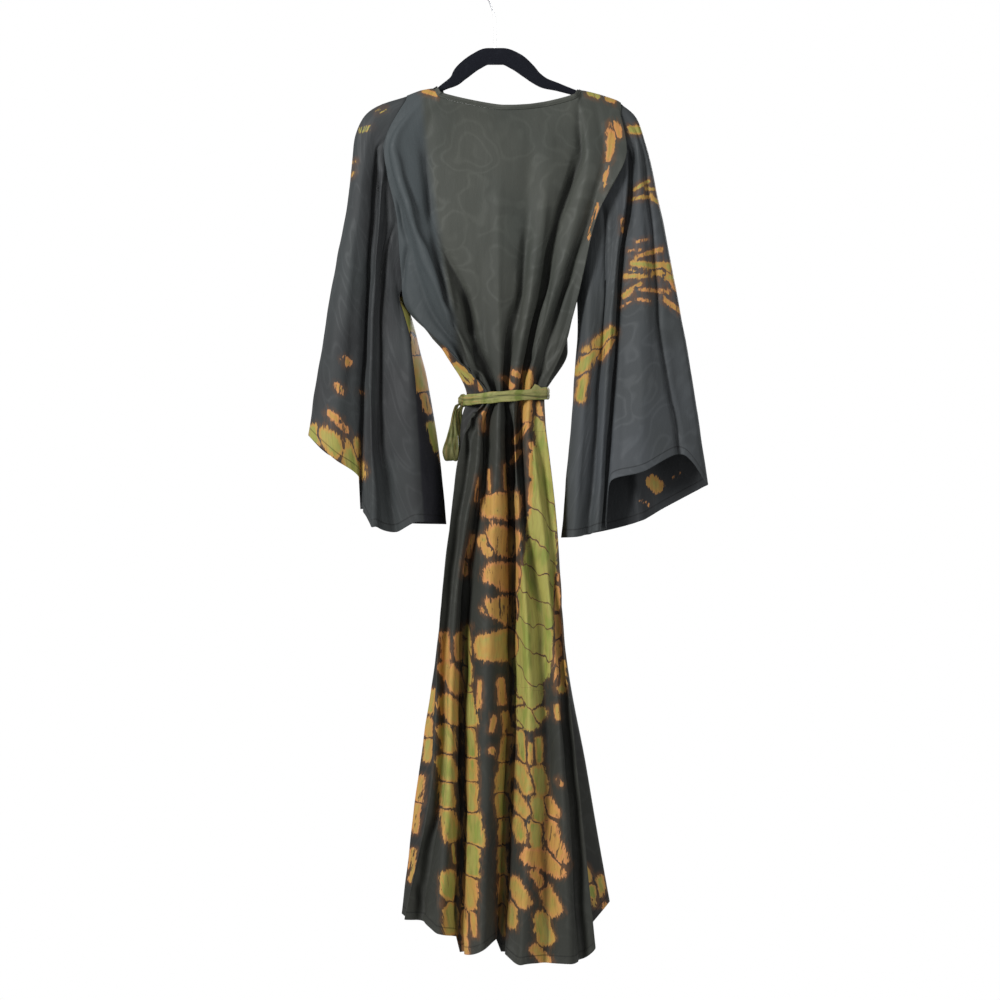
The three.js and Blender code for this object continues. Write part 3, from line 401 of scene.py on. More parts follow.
FRONT_LEFT_DYE = [
    (-66, -640, -46, -653, 9.0, 10.5, 0.74, 0.5, 0),
    (-26, -652, -24, -670, 5.5, 5.5, 0.85, 0.95, 0),
    (-85, -608, -78, -626, 4.0, 4.0, 0.8, 0.9, 0),
    (-62, -672, -52, -680, 3.0, 3.0, 0.6, 1, 0),
    (-106, -1176, -109, -1203, 7.4, 7.4, 0.86, 0.6, 0),
    (-112, -1222, -112, -1242, 6.6, 7.4, 0.8, 0.66, 0),
    (-112, -1255, -114, -1282, 7.4, 6.6, 0.84, 0.5, 0),
    (-124, -1318, -127, -1351, 6.6, 7.4, 0.78, 0.8, 0),
    (-130, -1361, -134, -1401, 5.9, 5.9, 0.74, 0.8, 0),
    (-137, -1437, -140, -1483, 5.9, 4.9, 0.6, 0.7, 0),
    (7, -823, 20, -955, 19.8, 26.4, 0.9, 0.3, 1),
    (16, -1021, 23, -1186, 29.7, 33.0, 0.94, 0.2, 1),
    (-43, -1186, -50, -1384, 16.5, 23.1, 0.84, 0.5, 0),
    (-50, -1434, -56, -1566, 19.8, 19.8, 0.82, 0.5, 0),
    (40, -1285, 56, -1516, 19.8, 23.1, 0.8, 0.6, 0),
]
FRONT_RIGHT_DYE = [
    (148, -1463, 155, -1486, 4.3, 6.6, 0.7, 0.6, 0),
    (155, -1493, 165, -1519, 8.2, 8.2, 0.8, 0.3, 0),
    (172, -1483, 175, -1503, 6.6, 6.6, 0.78, 0.6, 0),
    (165, -1516, 182, -1529, 4.9, 4.9, 0.7, 0.8, 0),
    (-43, -856, -33, -1021, 16.5, 23.1, 0.86, 0.6, 0),
    (-26, -1087, -30, -1252, 23.1, 26.4, 0.9, 0.4, 0),
    (-33, -1318, -43, -1516, 23.1, 26.4, 0.86, 0.5, 0),
    (40, -790, 53, -1021, 19.8, 29.7, 1, 0.12, 1),
    (59, -1054, 73, -1285, 33.0, 33.0, 1, 0.15, 1),
    (81, -1351, 106, -1549, 19.8, 23.1, 0.84, 0.7, 0),
    (7, -1186, 7, -1351, 9.9, 13.2, 0.8, 0.7, 0),
]
LEFT_SLEEVE_DYE = [
    (-302, -740, -298, -756, 9.0, 11.0, 0.9, 0.35, 0),
    (-282, -750, -262, -768, 13.0, 18.0, 0.94, 0.5, 0),
    (-274, -712, -262, -724, 5.0, 7.0, 0.68, 1, 0),
    (-250, -762, -232, -806, 9.0, 18.0, 0.9, 0.45, 0),
    (-258, -730, -246, -742, 4.5, 4.5, 0.62, 1, 0),
    (-249, -625, -244, -630, 4.9, 6.6, 0.52, 1, 0),
    (-262, -668, -254, -675, 4.9, 6.6, 0.52, 1, 0),
    (-224, -678, -219, -681, 3.3, 3.3, 0.45, 1, 0),
    (-229, -757, -228, -807, 4.9, 4.9, 0.75, 0.5, 0),
    (-185, -211, -195, -216, 4.9, 3.3, 0.5, 0.15, 0),
    (-221, -246, -205, -242, 4.9, 3.3, 0.42, 0.1, 0),
    (-238, -300, -231, -298, 2.3, 2.3, 0.6, 0.5, 0),
    (-238, -322, -234, -317, 2.3, 2.3, 0.6, 0.5, 0),
]
LEFT_SLEEVE_FRONT_DYE = [
    (-150, -526, -139, -576, 8.2, 11.5, 1, 0.1, 0),
    (-140, -576, -135, -612, 8.2, 8.2, 0.72, 0.8, 0),
    (-130, -628, -124, -668, 10.7, 11.5, 0.98, 0.6, 0),
    (-119, -684, -112, -708, 6.6, 6.6, 0.72, 0.8, 0),
    (-107, -734, -99, -770, 7.4, 6.6, 1, 0.15, 0),
    (-94, -777, -86, -807, 4.3, 3.3, 0.9, 0.7, 0),
]
RIGHT_SLEEVE_DYE = [
    (224, -246, 238, -246, 6.6, 6.6, 0.95, 0.3, 0),
    (228, -345, 251, -331, 2.6, 3.3, 0.8, 0.4, 0),
    (224, -361, 257, -354, 2.6, 4.0, 0.8, 0.4, 0),
    (248, -345, 264, -345, 3.3, 3.3, 0.75, 0.4, 0),
    (254, -358, 271, -368, 2.6, 3.0, 0.7, 0.4, 0),
    (218, -447, 238, -444, 2.0, 2.0, 0.6, 0.8, 0),
    (228, -457, 271, -444, 2.6, 4.3, 0.72, 0.7, 0),
    (231, -432, 251, -427, 2.0, 2.0, 0.6, 0.8, 0),
    (224, -467, 284, -473, 4.3, 6.6, 0.86, 0.4, 0),
    (214, -488, 271, -483, 4.0, 8.2, 0.88, 0.45, 0),
    (221, -480, 290, -490, 3.3, 6.6, 0.8, 0.45, 0),
    (211, -520, 238, -500, 4.9, 3.3, 0.84, 0.6, 0),
    (231, -510, 284, -513, 2.6, 3.6, 0.7, 0.8, 0),
    (277, -526, 304, -546, 4.0, 4.0, 0.72, 0.8, 0),
    (231, -526, 251, -529, 2.6, 2.3, 0.6, 0.9, 0),
    (205, -539, 221, -529, 2.0, 2.0, 0.6, 0.9, 0),
    (287, -501, 297, -510, 3.3, 3.3, 0.6, 0.9, 0),
    (191, -579, 152, -612, 8.2, 9.9, 0.88, 0.5, 0),
    (158, -612, 139, -645, 11.5, 9.9, 0.86, 0.45, 0),
    (144, -652, 139, -688, 8.2, 7.4, 0.9, 0.5, 0),
    (191, -592, 172, -622, 4.9, 4.9, 0.7, 0.7, 0),
    (208, -394, 208, -414, 2.6, 2.6, 0.6, 0.9, 0),
]
RIGHT_SLEEVE_FRONT_DYE = [
    (259, -826, 266, -833, 9.9, 11.5, 1, 0.62, 0),
    (294, -820, 304, -813, 3.3, 3.3, 0.45, 1, 0),
    (238, -856, 254, -864, 3.3, 3.3, 0.45, 1, 0),
    (238, -477, 304, -493, 6.6, 9.9, 0.86, 0.45, 0),
    (191, -579, 152, -612, 9.9, 13.2, 0.88, 0.5, 0),
]


def smooth(values, ranks):
    """A curve through evenly ranked rows of values, with no overshoot between them."""
    values = np.asarray(values, float)
    ranks = np.asarray(ranks, float)
    last = len(values) - 1
    i = np.minimum(np.floor(ranks).astype(int), last - 1)
    f = (ranks - i).reshape((-1,) + (1,) * (values.ndim - 1))
    steps = np.diff(values, axis=0)
    before, after = steps[:-1], steps[1:]
    total = before + after
    total = np.where(total == 0, 1, total)
    inner = np.where(before * after <= 0, 0, 2 * before * after / total)
    slopes = np.concatenate([steps[:1], inner, steps[-1:]])
    f2, f3 = f * f, f * f * f
    return (
        values[i] * (2 * f3 - 3 * f2 + 1)
        + slopes[i] * (f3 - 2 * f2 + f)
        + values[i + 1] * (3 * f2 - 2 * f3)
        + slopes[i + 1] * (f3 - f2)
    )


def rank_list(counts, last_span):
    """Ranks down the stations, with close rows at the hem; last_span is its span in mm."""
    out = [0.0]
    for span, count in enumerate(counts):
        out += [span + (k + 1) / count for k in range(count)]
    end = len(counts)
    hem = [end - back / last_span for back in HEM_ROWS]
    out = [r for r in out if r < hem[0] - 0.01] + hem + [end]
    return np.array(out)


def surface(lines, ranks, per_gap, closed=False):
    """Rows of points through fold lines given as an array of line, station, axis."""
    down = smooth(np.moveaxis(lines, 1, 0), ranks)
    across = np.moveaxis(down, 1, 0)
    if closed:
        count = len(across)
        around = np.concatenate([across[-3:], across, across[:3]])
        steps = 3 + np.arange(count * per_gap) / per_gap
    else:
        around = across
        steps = np.arange((len(across) - 1) * per_gap + 1) / per_gap
    return np.moveaxis(smooth(around, steps), 0, 1)


def normals_of(grid, closed=False):
    """Unit normals of the surface through a grid of points."""
    down = np.gradient(grid, axis=0)
    if closed:
        across = np.roll(grid, -1, 1) - np.roll(grid, 1, 1)
    else:
        across = np.gradient(grid, axis=1)
    n = np.cross(down, across)
    return n / np.maximum(np.linalg.norm(n, axis=-1, keepdims=True), 1e-9)


def crease_distance(x, z, ax, az, bx, bz, bend):
    """Distance to a bent line, and how far along it the nearest point lies, from 0 to 1."""
    dx, dz = bx - ax, bz - az
    length2 = dx * dx + dz * dz
    t = np.clip(((x - ax) * dx + (z - az) * dz) / length2, 0, 1)
    aside = bend * 4 * t * (1 - t)
    length = math.sqrt(length2)
    px = ax + t * dx - aside * dz / length
    pz = az + t * dz + aside * dx / length
    return np.hypot(x - px, z - pz), t


def creased(grid, creases, facing, closed=False):
    """The grid with creases pressed in along its normals, and painted shade in closed troughs."""
    n = normals_of(grid, closed)
    x, z = grid[..., 0], grid[..., 2]
    push, fold_shade = np.zeros(x.shape), np.zeros(x.shape)
    shade_from_depth, over = CREASE_SHADE_DEPTHS
    for *line, width, depth in creases:
        distance, t = crease_distance(x, z, *line)
        fade = np.minimum(1, 4 * np.minimum(t + 0.02, 1.02 - t)) ** 1.5
        push += depth * fade * np.exp(-((distance / width) ** 2))
        shade_share = min(1, max(0, (-depth - shade_from_depth) / over)) * fade
        dark = np.exp(-((distance / (1.6 + 0.4 * width)) ** 2))
        fold_shade = np.maximum(fold_shade, shade_share * dark)
    return grid + n * (push * facing)[..., None], fold_shade * np.minimum(facing, 1)


def lengths(grid, axis):
    """Distance along the cloth, across or down the grid, from its first line."""
    step = np.linalg.norm(np.diff(grid, axis=axis), axis=-1)
    start = np.zeros_like(np.take(step, [0], axis=axis))
    return np.concatenate([start, np.cumsum(step, axis=axis)], axis=axis)


def sharpened(grid, per_gap, heights, lines, closed=False):
    """The grid with fold lines drawn in or out at the heights, and painted shade in closed folds.
    """
    n = normals_of(grid, closed)
    z = grid[..., 2]
    push, fold_shade = np.zeros(z.shape), np.zeros(z.shape)
    shade_from_depth, over = FOLD_SHADE_DEPTHS
    for fold, depths, widths in lines:
        middle = int(fold * per_gap)
        at = z[:, middle]
        deep = np.interp(at, heights[::-1], depths[::-1])
        wide = np.interp(at, heights[::-1], widths[::-1])
        sway = 2.2 * np.sin(at / 41 + fold) + 1.2 * np.sin(at / 17)
        offset = np.linalg.norm(grid - grid[:, middle : middle + 1], axis=-1)
        side = np.arange(grid.shape[1]) - middle
        if closed:
            half = grid.shape[1] // 2
            side = (side + half) % grid.shape[1] - half
        offset = offset * np.sign(side)[None, :] - sway[:, None] * np.minimum(1, wide / 6)[:, None]
        push -= deep[:, None] * np.exp(-((offset / wide[:, None]) ** 2))
        shade_share = np.clip((deep - shade_from_depth) / over, 0, 1)[:, None]
        fold_shade = np.maximum(fold_shade, shade_share * np.exp(-((offset / FOLD_SHADE_HALF_WIDTH) ** 2)))
    return grid + n * push[..., None], fold_shade


def stepped_hem(grid, per_gap, steps):
    """The hem with jumps where one fold laps over the next."""
    out = grid.copy()
    down = lengths(grid, 0)
    near = np.clip((down - down[-1:] + HEM_JUMP) / HEM_JUMP, 0, 1) ** 2
    for fold, shift, drop, fade in steps:
        middle = int(fold * per_gap)
        offset = grid[-1, :, 0] - grid[-1, middle, 0]
        window = np.abs(np.arange(grid.shape[1]) - middle) <= 2 * per_gap
        shape = (shift + drop * np.sign(offset + 1e-6)) * np.exp(-((offset / fade) ** 2)) * window
        out[..., 2] -= near * shape[None, :]
    return out


def waves(grid, seed, size, height, closed=False):
    """Slight unevenness: a few long, slanting waves whose sizes come from the seed."""
    rng = np.random.default_rng(seed)
    n = normals_of(grid, closed)
    x, z = grid[..., 0], grid[..., 2]
    push = np.zeros(x.shape)
    for _ in range(9):
        angle = rng.uniform(-0.5, 0.5)
        wide = size * rng.uniform(0.6, 1.7)
        tall = wide * rng.uniform(2.5, 5)
        phase = rng.uniform(0, 6.28, 2)
        u = (x * math.cos(angle) + z * math.sin(angle)) / wide
        v = (z * math.cos(angle) - x * math.sin(angle)) / tall
        push += np.sin(6.28 * u + phase[0]) * np.sin(6.28 * v + phase[1])
    return grid + n * (push * height / 3)[..., None]


LONG_STROKE = 80  # a stroke longer than this is cracked into rows


def dye_of(grid, strokes):
    """How far inside a stroke each point lies, in mm, with that stroke's values as attributes.

    The parting is how much nearer the nearest stroke is than the next one, with a sign that
    turns from each stroke to the next, so that it passes through nought between two cells.
    """
    x, z = grid[..., 0], grid[..., 2]
    start = {"reach": -40.0, "cover": 0.0, "warm": 0.5, "slant": 0.0, "rows": 0.0, "coarse": 1.0,
             "turn": 1.0}
    out = {key: np.full(x.shape, value) for key, value in start.items()}
    second, second_slant = np.full(x.shape, -80.0), np.zeros(x.shape)
    for i, (x0, z0, x1, z1, wide0, wide1, cover, warm, slant) in enumerate(strokes):
        length = math.hypot(x1 - x0, z1 - z0)
        dx, dz = (x1 - x0) / length, (z1 - z0) / length
        along = (x - x0) * dx + (z - z0) * dz
        aside = np.abs((z - z0) * dx - (x - x0) * dz)
        beyond = np.abs(along - length / 2) - length / 2
        distance = (aside ** 3 + np.maximum(0, beyond) ** 3) ** (1 / 3)
        wide = wide0 + (wide1 - wide0) * np.clip(along / length, 0, 1)
        inside = wide - distance
        nearer = inside > out["reach"]
        next_one = ~nearer & (inside > second)
        second_slant = np.where(nearer, out["slant"], np.where(next_one, slant, second_slant))
        second = np.where(nearer, out["reach"], np.maximum(second, inside))
        values = {
            "reach": inside, "cover": cover, "warm": warm, "slant": slant,
            "rows": float(length > LONG_STROKE), "coarse": np.clip(wide / 11, 0.2, 1),
            "turn": 1 - 2 * (i % 2),
        }
        for key, value in values.items():
            out[key] = np.where(nearer, value, out[key])
    out["parting"] = (out["reach"] - second) * out.pop("turn")
    out["parting"] = np.where(out["slant"] * second_slant > 0, 40.0, out["parting"])
    return out


def cloth(name, grid, material, closed=False, closed_down=False, values=None, thick=SHELL):
    """A thin shell on a grid of middle points, as one mesh with its cloth coordinates."""
    rows, columns = grid.shape[:2]
    across = columns if closed else columns - 1
    down = rows if closed_down else rows - 1
    i, j = np.meshgrid(np.arange(down), np.arange(across), indexing="ij")
    i2, j2 = (i + 1) % rows, (j + 1) % columns
    quads = np.stack([i * columns + j, i2 * columns + j, i2 * columns + j2, i * columns + j2], -1)
    mesh = bpy.data.meshes.new(name)
    mesh.from_pydata((grid.reshape(-1, 3) * MM).tolist(), [], quads.reshape(-1, 4).tolist())
    u = lengths(grid, 1)
    u = u - u[:, columns // 2 : columns // 2 + 1]
    v = lengths(grid, 0)
    data = {"u": u, "v": v, "hem": v[-1:] - v, "x": grid[..., 0], "z": grid[..., 2]}
    data.update(values or {})
    for key, value in data.items():
        layer = mesh.attributes.new(key, "FLOAT", "POINT")
        layer.data.foreach_set("value", np.broadcast_to(value, (rows, columns)).ravel())
    mesh.materials.append(material)
    mesh.polygons.foreach_set("use_smooth", np.ones(len(mesh.polygons), bool))
    piece = bpy.data.objects.new(name, mesh)
    bpy.context.scene.collection.objects.link(piece)
    shell = piece.modifiers.new("shell", "SOLIDIFY")
    shell.thickness = thick * MM
    shell.offset = 0
    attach(piece, "root")
    return piece


class Nodes:
    """Short ways to add and join shader nodes in one material."""

    def __init__(self, name):
        self.material = bpy.data.materials.new(name)
        self.material.use_nodes = True
        self.tree = self.material.node_tree
        self.shader = self.tree.nodes["Principled BSDF"]

    def add(self, kind, inputs=None, **settings):
        node = self.tree.nodes.new(kind)
        for key, value in settings.items():
            setattr(node, key, value)
        for key, value in (inputs or {}).items():
            self.put(node.inputs[key], value)
        return node

    def put(self, socket, value):
        if isinstance(value, bpy.types.NodeSocket):
            self.tree.links.new(value, socket)
        else:
            socket.default_value = value

    def value(self, name):
        return self.add("ShaderNodeAttribute", attribute_name=name).outputs["Fac"]

    def math(self, operation, a, b=0.0, c=0.0):
        return self.add("ShaderNodeMath", {0: a, 1: b, 2: c}, operation=operation).outputs[0]

    def step(self, value, low, high):
        """0 below low, 1 above high, and smooth between."""
        return self.add(
            "ShaderNodeMapRange",
            {"Value": value, "From Min": low, "From Max": high},
            interpolation_type="SMOOTHSTEP",
        ).outputs["Result"]

    def place(self, u, v, wide, tall):
        """Cloth coordinates in cells of the given size in mm."""
        x = self.math("MULTIPLY", u, 1 / wide)
        y = self.math("MULTIPLY", v, 1 / tall)
        return self.add("ShaderNodeCombineXYZ", {"X": x, "Y": y}).outputs["Vector"]

    def noise(self, vector, scale=1.0, detail=3.0, rough=0.55):
        node = self.add(
            "ShaderNodeTexNoise",
            {"Vector": vector, "Scale": scale, "Detail": detail, "Roughness": rough},
        )
        return node.outputs["Fac"]

    def mix(self, share, a, b):
        node = self.add("ShaderNodeMix", data_type="RGBA")
        self.put(node.inputs["Factor"], share)
        self.put(node.inputs[6], a)
        self.put(node.inputs[7], b)
        return node.outputs[2]

    def scaled(self, colour, share):
        """The colour with all its channels multiplied by one value."""
        grey = self.add("ShaderNodeCombineXYZ", {"X": share, "Y": share, "Z": share})
        inputs = {0: colour, 1: grey.outputs[0]}
        return self.add("ShaderNodeVectorMath", inputs, operation="MULTIPLY").outputs[0]

    def bump(self, height, strength, distance, normal=None):
        inputs = {"Height": height, "Strength": strength, "Distance": distance}
        if normal is not None:
            inputs["Normal"] = normal
        return self.add("ShaderNodeBump", inputs).outputs["Normal"]


OLIVE = (0.245, 0.228, 0.056, 1)
GREEN = (0.140, 0.178, 0.030, 1)
OCHRE = (0.340, 0.190, 0.046, 1)
TAN = (0.405, 0.180, 0.060, 1)
RUST = (0.110, 0.046, 0.016, 1)
# Painted shade drawn into closed folds and creases
PAINTED_FOLD_SHADE = (0.003, 0.003, 0.003, 1)
# Painted shade that darkens the lower cloth
PAINTED_LOW_SHADE = (0.004, 0.003, 0.001, 1)
ROW_GAP = 46.0  # from one crack of a tied row to the next
HEM_FOLD = 12.0  # the hem's stitches lie this far above its edge
NO_HEM = 99.0


def silk(name, ground, shade, inside=None, blue=None, dyed=True, shade_below=0.0):
    """Satin silk: a mottled ground with a tone-on-tone scroll, dye in cracked cells, and painted
    shade.
    """
    s = Nodes(name)
    u, v = s.value("u"), s.value("v")
    x, z = s.value("x"), s.value("z")
    near = s.place(u, v, 1, 1)
    # Broad mottling of the ground
    broad = s.noise(s.place(x, z, 150, 210), 1, 2)
    colour = s.mix(s.step(broad, 0.3, 0.7), ground, shade)
    # Scrolls woven tone on tone
    sway = s.add(
        "ShaderNodeTexNoise", {"Vector": s.place(u, v, 60, 60), "Scale": 1.0, "Detail": 1.0})
    turn = s.add("ShaderNodeVectorMath", {0: s.place(u, v, 84, 96), 1: sway.outputs["Color"]},
                 operation="ADD")
    ring = s.add(
        "ShaderNodeTexVoronoi", {"Vector": turn.outputs[0], "Scale": 1.0, "Randomness": 0.45})
    scroll = s.math("SINE", s.math("MULTIPLY", ring.outputs["Distance"], 13.0))
    line = s.step(s.math("ABSOLUTE", scroll), 0.0, 0.8)
    colour = s.scaled(colour, s.math("MULTIPLY_ADD", line, -0.14, 1.10))
    rough = s.math("MULTIPLY_ADD", line, 0.08, 0.60)
    if blue is not None:
        colour = s.mix(s.value("blue"), colour, blue)
    # Painted shade: the cloth is darkened towards its lower part
    low_shade = s.step(s.math("MULTIPLY", z, -1.0), 360, 800)
    colour = s.mix(s.math("MULTIPLY", low_shade, shade_below), colour, PAINTED_LOW_SHADE)
    if dyed:
        reach, cover, warm = s.value("reach"), s.value("cover"), s.value("warm")
        ragged = s.noise(s.place(u, v, 4.2, 15), 1, 4, 0.68)
        blot = s.noise(s.place(u, v, 22, 26), 1, 3)
        # Tied rows: thin cracks, level or slanting
        drift = s.noise(s.place(u, v, 46, 90), 1, 2)
        column = s.noise(s.place(u, v, 30, 700), 1, 1)
        slant = s.value("slant")
        rows = s.math("MULTIPLY", v, 1 / ROW_GAP)
        rows = s.math("MULTIPLY_ADD", s.math("MULTIPLY", slant, u), -0.85 / ROW_GAP, rows)
        rows = s.math("MULTIPLY_ADD", drift, 0.9, rows)
        rows = s.math("MULTIPLY_ADD", column, s.math("MULTIPLY_ADD", slant, -0.7, 0.9), rows)
        rows = s.math("MULTIPLY_ADD", ragged, 0.07, rows)
        crack = s.math("MULTIPLY", s.math("PINGPONG", rows, 0.5), ROW_GAP)
        pinch = s.math("SUBTRACT", 1.0, s.step(crack, 0.0, 9.0))
        coarse, in_rows = s.value("coarse"), s.value("rows")
        uneven = s.math("MULTIPLY", s.math("SUBTRACT", blot, 0.5), 9.0)
        uneven = s.math("MULTIPLY_ADD", s.math("SUBTRACT", ragged, 0.46), 24.0, uneven)
        teeth = s.math("MULTIPLY_ADD", uneven, coarse, reach)
        teeth = s.math("MULTIPLY_ADD", s.math("MULTIPLY", pinch, in_rows), -3.0, teeth)
        patch = s.step(teeth, -0.9, 1.3)
        speck = s.noise(s.place(u, v, 7, 30), 1, 4, 0.6)
        solid = s.math("MULTIPLY_ADD", s.math("SUBTRACT", 0.5, speck), 2.6, cover)
        patch = s.math("MULTIPLY", patch, s.step(solid, 0.40, 0.52))
        wide = s.math("MULTIPLY_ADD", s.math("SUBTRACT", 1.0, cover), 6.0, 0.6)
        blotted = s.math("MULTIPLY_ADD", s.step(blot, 0.42, 0.62), 1.6, 0.40)
        wide = s.math("MULTIPLY", wide, blotted)
        wide = s.math("MULTIPLY_ADD", s.math("SUBTRACT", ragged, 0.42), 3.4, wide)
        least = s.math("MULTIPLY_ADD", slant, s.step(drift, 0.35, 0.75), 0.75)
        wide = s.math("MAXIMUM", wide, least)
        crack = s.math("ADD", crack, s.math("MULTIPLY", s.math("SUBTRACT", 1.0, in_rows), 30.0))
        patch = s.math("MULTIPLY", patch, s.step(s.math("SUBTRACT", crack, wide), -0.5, 0.6))
        # A crack between each cell and the next, as wide as the cells are faint
        parting = s.math("MULTIPLY_ADD", s.math("SUBTRACT", drift, 0.5), 14.0, s.value("parting"))
        parting = s.math("MULTIPLY_ADD", s.math("SUBTRACT", ragged, 0.46), 9.0, parting)
        parting = s.math("ABSOLUTE", parting)
        parting = s.math("SUBTRACT", parting, s.math("MULTIPLY_ADD", wide, 0.9, 0.6))
        patch = s.math("MULTIPLY", patch, s.step(parting, -0.6, 0.8))
        rim = s.math("SUBTRACT", 1.0, s.step(teeth, 0.5, s.math("MULTIPLY_ADD", coarse, 7.0, 1.0)))
        seam = s.math("SUBTRACT", 1.0, s.step(s.math("SUBTRACT", crack, wide), 0.0, 3.6))
        seam = s.math("MAXIMUM", seam, s.math("SUBTRACT", 1.0, s.step(parting, 0.0, 8.0)))
        heat = s.math("SUBTRACT", warm, 0.10)
        heat = s.math("MULTIPLY_ADD", s.math("MAXIMUM", rim, seam), 0.55, heat)
        heat = s.math("MULTIPLY_ADD", s.math("SUBTRACT", blot, 0.5), 0.9, heat)
        green = s.step(s.noise(s.place(u, v, 26, 62), 1, 2), 0.46, 0.64)
        dye = s.mix(s.math("MULTIPLY", green, 0.75), OLIVE, GREEN)
        dye = s.mix(s.step(heat, 0.30, 0.80), dye, OCHRE)
        dye = s.mix(s.step(heat, 0.85, 1.30), dye, TAN)
        streak = s.noise(s.place(u, v, 4, 36), 1, 3)
        dye = s.mix(s.math("MULTIPLY", s.step(streak, 0.42, 0.78), 0.36), dye, RUST)
        near_dye = s.math("MULTIPLY", s.step(teeth, -9.0, 0.0), s.step(cover, 0.3, 0.8))
        halo = s.math("MULTIPLY", near_dye, s.step(speck, 0.30, 0.62))
        colour = s.mix(s.math("MULTIPLY", halo, 0.62), colour, RUST)
        colour = s.mix(patch, colour, dye)
    # Painted shade: a sleeve's far layer, seen through its opening, is darkened except where dye
    # shows
    if inside is not None:
        inside_shade_share = s.math("MULTIPLY", s.value("inner"), s.math("SUBTRACT", 1.0, patch))
        colour = s.mix(inside_shade_share, colour, inside)
    # Painted shade: closed folds and creases darkened towards near black
    colour = s.mix(s.math("MULTIPLY", s.value("fold_shade"), 0.85), colour, PAINTED_FOLD_SHADE)
    hem = s.value("hem")
    stitch_line = s.math("COMPARE", hem, HEM_FOLD, 0.6)
    dash = s.step(s.math("SINE", s.math("MULTIPLY", u, 2.4)), -0.5, 0.1)
    stitch = s.math("MULTIPLY", stitch_line, dash)
    fold_line = s.step(hem, HEM_FOLD - 0.8, HEM_FOLD + 1.4)
    turned = s.math("MULTIPLY", s.math("COMPARE", hem, HEM_FOLD + 0.6, 1.1), 0.45)
    colour = s.scaled(colour, s.math("SUBTRACT", 1.0, turned))
    weave = s.noise(near, 1.6, 2)
    crumple = s.noise(s.place(u, v, 16, 44), 1, 4)
    relief = s.math("MULTIPLY_ADD", stitch, 0.35, s.math("MULTIPLY", fold_line, -0.5))
    normal = s.bump(crumple, 0.45, 0.0022)
    normal = s.bump(relief, 0.6, 0.0008, normal)
    normal = s.bump(weave, 0.12, 0.0003, normal)
    s.put(s.shader.inputs["Base Color"], colour)
    s.put(s.shader.inputs["Roughness"], rough)
    s.put(s.shader.inputs["Normal"], normal)
    s.shader.inputs["Sheen Weight"].default_value = 0.03
    s.shader.inputs["Sheen Roughness"].default_value = 0.45
    s.shader.inputs["Specular IOR Level"].default_value = 0.22
    return s.material


GROUND = (0.0455, 0.0485, 0.0410, 1)
SHADED = (0.0350, 0.0390, 0.0335, 1)
BLUE_GREY = (0.040, 0.048, 0.051, 1)
# Painted shade for the left sleeve's far layer, seen through its opening
SLEEVE_INSIDE_SHADE = (0.0065, 0.0065, 0.010, 1)
# Painted shade set below: how much each lower part darkens, and the colour of a sleeve's shaded
# inside
back_silk = silk("dyed_silk_back", GROUND, SHADED, blue=BLUE_GREY, shade_below=0.54)
front_silk = silk("dyed_silk_front", SHADED, (0.030, 0.031, 0.034, 1), shade_below=0.60)
left_silk = silk("dyed_silk_sleeve_left", (0.034, 0.039, 0.040, 1), (0.024, 0.025, 0.027, 1),
                 inside=SLEEVE_INSIDE_SHADE, shade_below=0.22)
right_silk = silk("dyed_silk_sleeve_right", (0.043, 0.048, 0.053, 1), (0.033, 0.037, 0.038, 1),
                  inside=(0.017, 0.019, 0.021, 1))
band_silk = silk("dyed_silk_band", GROUND, (0.056, 0.060, 0.051, 1), dyed=False, shade_below=0.4)


def belt_material():
    """The belt's silk: olive with stains, and dark where it is folded in."""
    s = Nodes("belt_silk")
    u, v = s.value("u"), s.value("v")
    stain = s.noise(s.place(u, v, 46, 18), 1, 4)
    colour = s.mix(s.step(stain, 0.38, 0.66), (0.225, 0.215, 0.080, 1), (0.105, 0.130, 0.026, 1))
    tan = s.noise(s.place(u, v, 3.2, 55), 1, 3)
    colour = s.mix(s.math("MULTIPLY", s.step(tan, 0.54, 0.66), 0.75), colour, (0.30, 0.19, 0.07, 1))
    dark = s.noise(s.place(u, v, 15, 8), 1.3, 3)
    spot = s.math("MULTIPLY", s.step(dark, 0.66, 0.75), 0.6)
    colour = s.mix(spot, colour, (0.09, 0.06, 0.045, 1))
    shadow = s.value("shadow")
    colour = s.mix(s.math("MULTIPLY", shadow, 0.85), colour, (0.040, 0.040, 0.012, 1))
    weave = s.noise(s.place(u, v, 1, 1), 1.6, 2)
    crumple = s.noise(s.place(u, v, 9, 3.5), 1, 4)
    normal = s.bump(weave, 0.12, 0.0003, s.bump(crumple, 0.5, 0.0012))
    s.put(s.shader.inputs["Base Color"], colour)
    s.put(s.shader.inputs["Normal"], normal)
    s.shader.inputs["Roughness"].default_value = 0.62
    s.shader.inputs["Specular IOR Level"].default_value = 0.22
    return s.material


belt_silk = belt_material()


def flock_material():
    """Dark flock, a little worn."""
    s = Nodes("flock")
    place = s.add("ShaderNodeTexCoord").outputs["Object"]
    fuzz = s.noise(place, 900, 3, 0.7)
    wear = s.noise(place, 60, 3)
    colour = s.mix(s.step(fuzz, 0.35, 0.7), (0.0045, 0.005, 0.0075, 1), (0.010, 0.011, 0.016, 1))
    worn = s.math("MULTIPLY", s.step(wear, 0.55, 0.8), 0.5)
    colour = s.mix(worn, colour, (0.018, 0.019, 0.025, 1))
    s.put(s.shader.inputs["Base Color"], colour)
    s.put(s.shader.inputs["Normal"], s.bump(fuzz, 0.5, 0.0006))
    s.shader.inputs["Roughness"].default_value = 0.95
    s.shader.inputs["Sheen Weight"].default_value = 0.05
    s.shader.inputs["Specular IOR Level"].default_value = 0.08
    return s.material


